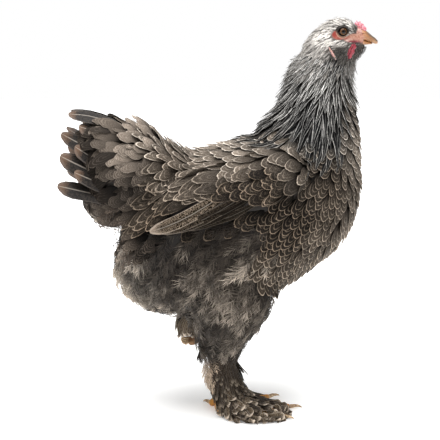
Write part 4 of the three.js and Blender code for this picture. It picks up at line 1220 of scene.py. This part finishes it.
def fluff_keratin(name, deep, tip, silver):
    """Downy barbs: matt, darkest near the skin, where their smoke grey is deepened with painted
    shade, browner and paler at their ends.
    """
    material, tree, shader = surface(name, Roughness=0.85, Specular_IOR_Level=0.08,
                                     Sheen_Weight=0.1, Sheen_Roughness=0.6)
    feather = feather_inputs(tree)
    patches = add(tree, "TexNoise", {"Vector": feather.place, "Scale": CLOUD_SCALE, "Detail": 2.0})
    cloud = add(tree, "ValToRGB", [patches], [(0.4, 0.0), (0.6, 1.0)])
    charted_light = add(tree, "Math", [feather.light, 0.8, 0.0], "MULTIPLY_ADD")
    lit = add(tree, "Math", [cloud, 0.32, charted_light], "MULTIPLY_ADD")
    outer = add(tree, "Mix", [lit, tip[0], tip[1]])
    outer = add(tree, "Mix", [feather.silver, outer, silver])
    # Painted shade: each barb darkens towards the skin, deep in the fluff.
    reach = add(tree, "ValToRGB", [feather.along], [(0.15, 0.0), (0.95, 1.0)])
    colour = add(tree, "Mix", [reach, deep, outer])
    tint = add(tree, "Math", [feather.chance, 0.8, 0.6], "MULTIPLY_ADD")
    colour = add(tree, "VectorMath", [colour, tint], "SCALE")
    feed(tree, shader, {"Base Color": colour})
    return material


PLUME_STEPS = np.array([0, 0.3, 0.6, 0.85, 1.0])
BARB_SIDES = 3
FIRST_BARB, LAST_BARB = 1.15, 0.6  # how far barbs turn from the shaft, in radians


def plumes(name, roots, length, reach, material, pairs=9, thick=0.8, loose=2.5,
           stiff=0.2, wander=0.35, lie=None, light=None, lift=0.0, curl=0.35, camber=0.0):
    """Many soft plumes as one piece. reach is how far a barb stretches from its shaft."""
    count = len(roots)
    length = np.broadcast_to(length, count) * dice.uniform(0.8, 1.2, count)
    turn = dice.normal(0, wander, count)
    places, headings, facings = marched(roots, length, PLUME_STEPS, stiff, turn, lie)
    _, depth, silver, shade = charted(places[:, -1])
    rise = PLUME_STEPS ** 0.7
    loft = np.broadcast_to(lift, count) + dice.normal(0, loose * 0.5, count)
    height = -depth[:, None] * (1 - rise[None]) + loft[:, None] * rise
    spine = places + facings * height[:, :, None]
    sides = unit(np.cross(headings, facings))
    barbs = pairs * 2 + 3
    starts = np.concatenate([np.linspace(0.08, 0.9, pairs)] * 2 + [[0.93, 0.97, 0.95]])
    turned = np.linspace(FIRST_BARB, LAST_BARB, pairs)
    spread = np.concatenate([turned, -turned, [0.3, 0.0, -0.3]])
    starts = np.clip(starts + dice.normal(0, 0.05, (count, barbs)), 0.02, 0.99)
    spread = spread * dice.uniform(0.4, 1.25, (count, barbs))

    def on_spine(values):
        row = np.clip(np.searchsorted(PLUME_STEPS, starts) - 1, 0, len(PLUME_STEPS) - 2)
        part = (starts - PLUME_STEPS[row]) / (PLUME_STEPS[row + 1] - PLUME_STEPS[row])
        plume = np.arange(count)[:, None]
        return values[plume, row] * (1 - part[..., None]) + values[plume, row + 1] * part[..., None]

    base, way, side, up = (on_spine(v) for v in (spine, headings, sides, facings))
    long = np.broadcast_to(reach, count)[:, None] * dice.uniform(0.7, 1.25, (count, barbs))
    long = long * (0.65 + 0.6 * np.sin(np.clip(starts, 0, 1) * math.pi))
    first = way * np.cos(spread)[..., None] + side * np.sin(spread)[..., None]
    bent = spread * curl + dice.normal(0, 0.32, spread.shape)
    second = way * np.cos(bent)[..., None] + side * np.sin(bent)[..., None]
    puff = dice.uniform(-0.25, 1.0, (count, barbs)) * loose
    middle = base + first * long[..., None] * 0.5 + up * (puff * 0.6)[..., None]
    droop = camber * long * np.abs(np.sin(spread))
    middle = middle - up * (droop * 0.25)[..., None]
    fall = puff * 0.4 - 0.6 - droop * 0.75
    tip = middle + second * long[..., None] * 0.5 + up * fall[..., None]
    turns = np.arange(BARB_SIDES) / BARB_SIDES * 2 * math.pi
    flat = unit(np.cross(first, up))
    corners = []
    for centre, size in ((base, 0.5), (middle, 0.42)):
        for a in turns:
            corners.append(centre + thick * size * (flat * math.cos(a) + up * math.sin(a) * 0.7))
    corners.append(tip)
    points = np.stack(corners, 2).reshape(count * barbs, 2 * BARB_SIDES + 1, 3)
    points[:, :, 2] = np.maximum(points[:, :, 2], OFF_FLOOR)
    pattern = [(s, (s + 1) % BARB_SIDES, BARB_SIDES + (s + 1) % BARB_SIDES, BARB_SIDES + s)
               for s in range(BARB_SIDES)]
    pattern += [(BARB_SIDES + s, BARB_SIDES + (s + 1) % BARB_SIDES, 2 * BARB_SIDES)
                for s in range(BARB_SIDES)]
    pattern.append(tuple(range(BARB_SIDES - 1, -1, -1)))
    sideways = np.repeat(np.sin(spread)[..., None], 2 * BARB_SIDES + 1, 2)
    sideways = sideways * np.array([0.15] * 3 + [0.6] * 3 + [1.0]) + np.array(
        [-0.1, 0.0, 0.1] * 2 + [0.0])
    along = starts[..., None] + np.array([0.0, 0.03, 0.0] + [0.3, 0.33, 0.3] + [0.6])
    along = np.minimum(along / 1.5 + 0.03 * dice.random((count, barbs, 1)), 1)
    own = np.stack([sideways, along], 3).reshape(count * barbs, -1, 2)
    patches = bake_map(roots, np.zeros(1), np.full(1, 0.5))
    inside = np.stack([sideways * 0.5, along - 0.5], 3) * BAKE_PATCH
    patches = (patches[:, :, None] + inside).reshape(count * barbs, -1, 2)
    shade = shade if light is None else np.broadcast_to(light, count)
    tones = np.repeat(np.stack([silver, shade, shade, np.ones(count)], 1), barbs, 0)
    tones[:, 2] = dice.random((count, barbs)).ravel()
    tones = np.repeat(tones, 2 * BARB_SIDES + 1, 0)
    return joined(name, points, pattern, material, {"vane": own, "OFBake": patches}, tones)


down = fluff_keratin("soft down", "#100d0a", ("#2a221b", "#beb0a0"), "#8f867c")
rear_down = fluff_keratin("pale rear down", "#100d0a", ("#2f2720", "#dfd1c0"), "#8f867c")
HOCK_HEM = 78.0
for name, part in (("fluff_rear", fluffy & (X < -45)),
                   ("fluff_side", fluffy & (X >= -45) & (Z > 150)),
                   ("thigh_fluff", fluffy & (X >= -45) & (Z <= 150) & (Z > HOCK_HEM + 14))):
    roots = scattered(part, 8.6)
    shade = charted(roots)[3] + bundled(roots, 24.0) * 0.3
    grown = np.interp(roots[:, 2], [HOCK_HEM + 14, HOCK_HEM + 45], [20, 40])
    matter = rear_down if name == "fluff_rear" else down
    plumes(name, roots, grown, grown * 0.4, matter, pairs=17, camber=0.35,
           light=shade, lift=bundled(roots, 26.0) * 2.5)

# ---------------------------------------------------------------- flight and tail feathers
# Stiff feathers with a strong shaft. The secondaries slide under one another along the lower
# edge of the folded wing, and the tail feathers spread in two tents behind the cushion.


def quill_outline(t):
    """Half width of a flight or tail feather along its length."""
    root = 0.4 + 0.6 * np.sin(np.clip(t / 0.5, 0, 1) * math.pi / 2)
    past = np.clip((t - 0.76) / 0.24, 0, 1)
    tip = np.sqrt(np.clip(1 - past ** 2.4, 0.04, 1))
    return np.where(t < 0.76, root, tip)


def quill_keratin(name, ground, mottle, tip, edge, mottled, edged, shine=0.25, scale=520.0,
                  rough=0.5):
    """Close-knit barbs with a pale shaft, mottled on the web and paler or browner at the tip."""
    material, tree, shader = surface(name, Roughness=rough, Specular_IOR_Level=shine)
    feather = feather_inputs(tree)
    off = add(tree, "Math", [feather.across], "ABSOLUTE")
    flecks = add(tree, "TexNoise", {"Vector": feather.place, "Scale": scale, "Detail": 2.0,
                                    "Distortion": 0.6})
    fleck = add(tree, "ValToRGB", [flecks], [(0.48, 0.0), (0.54, 1.0)])
    web = add(tree, "Math", [add(tree, "ValToRGB", [off], [(0.05, 0.35), (0.5, 1.0)]),
                             feather.light], "MULTIPLY")
    flecked = add(tree, "Math", [fleck, web], "MULTIPLY")
    flecked = add(tree, "Math", [flecked, mottled], "MULTIPLY")
    colour = add(tree, "Mix", [flecked, ground, mottle])
    worn = add(tree, "Math", [flecks, 0.1, feather.along], "MULTIPLY_ADD")
    worn = add(tree, "ValToRGB", [worn], [(0.9, 0.0), (1.0, 0.85)])
    colour = add(tree, "Mix", [add(tree, "Math", [worn, feather.light], "MULTIPLY"), colour, tip])
    tipward = add(tree, "ValToRGB", [feather.along], [(0.72, 0.0), (1.0, 0.95)])
    reach = add(tree, "CombineXYZ", [off, tipward])
    rim = add(tree, "VectorMath", [reach], "LENGTH")
    clear = add(tree, "Math", [add(tree, "Math", [feather.light, 0.8, 0.2], "MULTIPLY_ADD"), edged],
                "MULTIPLY")
    rim = add(tree, "ValToRGB", [rim], [(0.88, 0.0), (0.95, 1.0)])
    rim = add(tree, "Math", [rim, clear], "MULTIPLY")
    colour = add(tree, "Mix", [rim, colour, edge])
    shaft = add(tree, "ValToRGB", [off], [(0.03, 1.0), (0.09, 0.0)])
    shaft_light = add(tree, "Math", [feather.light, 0.45, 0.1], "MULTIPLY_ADD")
    shaft = add(tree, "Math", [shaft, shaft_light], "MULTIPLY")
    colour = add(tree, "Mix", [shaft, colour, "#a39a8f"])
    tint = add(tree, "Math", [feather.chance, 0.4, 0.75], "MULTIPLY_ADD")
    colour = add(tree, "VectorMath", [colour, tint], "SCALE")
    barbs = add(tree, "TexWave", {"Vector": feather.vane, "Scale": 14.0, "Distortion": 1.0},
                wave_type="BANDS", bands_direction="DIAGONAL")
    relieved(tree, shader, colour, barbs, 0.2, 0.4)
    return material


def quill_paths(rows, turned_out):
    """Places, headings and facings of feathers given as places at each step."""
    places = np.array(rows)
    headings = unit(np.gradient(places, axis=1))
    facings = np.broadcast_to(np.array(turned_out)[:, None], places.shape)
    facings = unit(facings - (facings * headings).sum(2, keepdims=True) * headings)
    return places, headings, facings


WING_QUILLS = 5
LOWEST_QUILL = ((46, 300), (-44, 266))   # root and tip (x, z) of the lowest flight feather
HIGHEST_QUILL = ((26, 326), (-84, 261))  # and of the highest one that shows
flight_matter = quill_keratin("flight feather keratin", "#0f0d0a", "#8b7b6a", "#85776a", "#b0a294",
                              mottled=0.8, edged=0.5, shine=0.0, scale=800.0, rough=0.9)
rows, outs, widths = [], [], []
for side in (-1, 1):
    for k in range(WING_QUILLS):
        share = k / (WING_QUILLS - 1)
        root = np.array(LOWEST_QUILL[0]) * (1 - share) + np.array(HIGHEST_QUILL[0]) * share
        tip = np.array(LOWEST_QUILL[1]) * (1 - share) + np.array(HIGHEST_QUILL[1]) * share
        run, faced = [], []
        for t in VANE_STEPS:
            x, z = root * (1 - t) + tip * t
            z -= 5 * math.sin(math.pi * t)
            hit = form_tree.ray_cast((x, side * 200, z), (0, -side, 0))
            out = -6.5 + 6.5 * min(1.0, t / 0.62) + 0.8 * k
            run.append((x, hit[0][1] + side * out, z))
            faced.append(form_tree.find_nearest(run[-1])[2])
        rows.append(run)
        outs.append(unit(face_normals[faced].mean(0) + (0, side * 0.6, 0)))
        widths.append(6.5 + 2.5 * share)
path = quill_paths(rows, outs)
shares = np.tile(np.arange(WING_QUILLS) / (WING_QUILLS - 1), 2)
# The lower flight feathers are painted darker, the lowest nearly black: their own dark webs with
# painted shade under the wing.
flights = vanes("flight_feathers", path[0][:, 0], 100, np.array(widths), flight_matter,
                outline=quill_outline, path=path, depth_share=0, camber=0.12,
                fray=0.02, roll=0.05, thickness=0.5, light=0.08 + 0.72 * shares ** 4)
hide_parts("wing_flights_r", "wing_flights_l")

# Tail feathers: (root), (tip), bow, lean of the vane from upright in degrees, half width.
RECTRICES = (
    ((-109, 14, 372), (-190, 16, 399), 7, 55, 11.0),
    ((-107, 18, 352), (-176, 24, 384), 3, 50, 13.0),
    ((-105, 22, 330), (-198, 31, 375), -3, 46, 13.0),
    ((-103, 26, 312), (-180, 40, 360), -2, 46, 13.0),
    ((-101, 28, 304), (-198, 45, 349), -3, 38, 15.0),
    ((-99, 31, 292), (-180, 52, 329), -1, 44, 13.0),
    ((-97, 33, 284), (-201, 57, 313), 0, 46, 12.5),
)
tail_matter = quill_keratin("tail feather keratin", "#191716", "#3a332d", "#5f4a3b", "#6e6660",
                            mottled=0.6, edged=0.25, shine=0.15)
rows, outs, widths = [], [], []
for side in (-1, 1):
    for root, tip, bow, lean, half in RECTRICES:
        root, tip = (np.array(p, float) * (1, side, 1) for p in (root, tip))
        run = [root * (1 - t) + tip * t + (0, 0, bow * math.sin(math.pi * t))
               for t in VANE_STEPS]
        angle = math.radians(lean)
        rows.append(run)
        outs.append((0, side * math.cos(angle), math.sin(angle)))
        widths.append(half)
path = quill_paths(rows, outs)
rectrices = vanes("tail_feathers", path[0][:, 0], 90, np.array(widths), tail_matter,
                  outline=quill_outline, path=path, depth_share=0,
                  camber=0.18, fray=0.03, roll=0.06, thickness=0.6, light=1.0)
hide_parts(*[f"tail_feather_{side}{k}" for side in "rl" for k in range(1, 5)])

# Soft-ended coverts lie over the roots of the tail feathers and fill the fan between them.
covert_matter = plumage("tail covert keratin", ("#15110e", "#3c342d"), ("#5f554b", "#8f8377"),
                        ("#1c1b1a", "#4c4a47"), ("#7e7a74", "#a9a49d"), strength=0.6, wobble=1.2)
roots = scattered(owned("cushion", "undertail") & (X < -122) & (Z > 290), 13)
roots = roots[np.abs(roots[:, 1]) > 6]
vanes("tail_coverts", roots, 46, 9.5, covert_matter, lines=3.2, stiff=0.9,
      lift=-1.0, wander=0.22, depth_share=0.6, scatter_height=1.5, fray=0.1)
fringe_matter = fluff_keratin("under-tail fringe", "#15110e", ("#3a3029", "#8f7d6d"), "#8d8780")
low_tail = owned("undertail") & (Z < 285) | owned("fluff") & (Z > 236)
roots = scattered(low_tail & (X < -98), 7.0)
plumes("undertail_fringe", roots, 36, 8, fringe_matter, pairs=13, thick=0.8,
       wander=0.3, stiff=0.6, loose=1.8, lie=np.tile((-0.85, 0.0, -0.5), (len(roots), 1)),
       curl=0.2)

# ---------------------------------------------------------------- feathers of the legs and feet
# The shank is booted: long dark feathers down its front and outer side, paler down behind.
# Leaf-shaped feathers fan out over the outer and the middle toe and touch the floor.

leaf_matter = quill_keratin("foot feather keratin", "#352b22", "#a8967f", "#dac9b6", "#c8b9a6",
                            mottled=0.5, edged=0.5, shine=0.08, scale=1300.0)
shank_matter = quill_keratin("shank feather keratin", "#1a1511", "#8a7a6a", "#a39584", "#8d8070",
                             mottled=0.5, edged=0.3, shine=0.05, scale=1300.0)
shank_down = fluff_keratin("shank down", "#5a4837", ("#8d765f", "#e6cfb6"), "#bbb0a2")
foot_down = fluff_keratin("foot down", "#120d0a", ("#2c231b", "#7d6c5c"), "#8d8780")
FOOT_HUB = np.array([-6.0, -4.0, 46.0])  # the foot feathers radiate from here


def away_from(hub, roots, droop):
    return unit(roots - hub + np.array([0.0, 0.0, droop]))


shank = owned("shank_r") & (Z < 88) | owned("slipper_r") & (Z > 24)
roots = scattered(shank & (X < -4), 5.0)
plumes("shank_down", roots, 20, 7, shank_down, pairs=8, thick=0.6, wander=0.3,
       lie=np.tile((0.0, 0.0, -1.0), (len(roots), 1)), loose=1.5, light=1.0)
roots = scattered(shank & (X >= -8) & ((face_middles[:, 1] < 8) | (X < 14)), 5.6)
vanes("shank_feathers", roots, 34, 3.0, shank_matter, outline=quill_outline,
      lie=np.tile((0.12, 0.0, -1.0), (len(roots), 1)), fray=0.16, wander=0.2, stiff=0.1,
      depth_share=0.6, scatter_height=1.5, roll=0.3, lift=0.5, light=0.5, bundle=0.3)
outer_side = owned("slipper_r") & ((face_middles[:, 1] < 6) | (X < 8))
roots = scattered(outer_side, 6.6)
leaves = vanes("foot_feathers", roots, 27, 5.6, leaf_matter,
               outline=quill_outline, lie=away_from(FOOT_HUB, roots, -6), fray=0.2, wander=0.5,
               stiff=0.75, depth_share=0.7, scatter_height=2.2, roll=0.4, lift=1.0, light=1.0,
               bundle=0.5)
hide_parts("slipper_r")
roots = scattered(outer_side, 6.5)
plumes("foot_down", roots, 17, 6, foot_down, pairs=7, thick=0.6, wander=0.5,
       lie=away_from(FOOT_HUB, roots, -6), stiff=0.6, loose=2.0)

# The lifted foot's feathers hang from the shank over the curled toes.
LIFTED_HEM = 92.0
roots = scattered(owned("shank_l", "slipper_l") & (Z > 118) & (Z < 146), 3.8)
facing = snapped(roots)[1] * (1, 1, 0.2)
drop = (roots[:, 2] - LIFTED_HEM) * dice.uniform(0.85, 1.15, len(roots))
rows = [[root + (-6 * t, 0, 0) + out * 3.5 * math.sin(math.pi * t) - (0, 0, fall * t)
         for t in VANE_STEPS] for root, out, fall in zip(roots, facing, drop)]
lifted = vanes("lifted_foot_feathers", roots, 26, 3.6, leaf_matter,
               outline=quill_outline, path=quill_paths(rows, facing), fray=0.16, roll=0.3,
               depth_share=0.3, scatter_height=1.2, light=1.0)
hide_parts("slipper_l")

# Shorter ones grow on the curled toes themselves and lap down over the front of the fist.
FIST_TOES = ("toe_inner_l", "toe_middle_l", "toe_outer_l")
FIST_ROWS = ((4.0, 30.0), (-7.0, 26.0), (-19.0, 19.0))  # height over the fist's top, and length
ends = np.array([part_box(toe) for toe in FIST_TOES]) / MM
low, high = ends[:, 0].min(0), ends[:, 1].max(0)
rows = []
for layer, (above, length) in enumerate(FIST_ROWS):
    for y in np.arange(low[1] + 1.5 * (layer % 2), high[1] + 1, 3.0):
        lean, fall = dice.normal(0, 2.5), length * dice.uniform(0.85, 1.1)
        bulge = 1.2 + 0.5 * layer + dice.uniform(0, 1)
        rows.append([(high[0] + 0.3 + bulge * math.sin(math.pi * min(1, 0.25 + t)),
                      y + lean * t, high[2] + above - fall * t) for t in VANE_STEPS])
path = quill_paths(rows, np.tile((1.0, 0.0, 0.15), (len(rows), 1)))
vanes("lifted_toe_feathers", path[0][:, 0], 26, 3.0, leaf_matter,
      outline=quill_outline, path=path, fray=0.16, roll=0.3, depth_share=0, light=0.7)
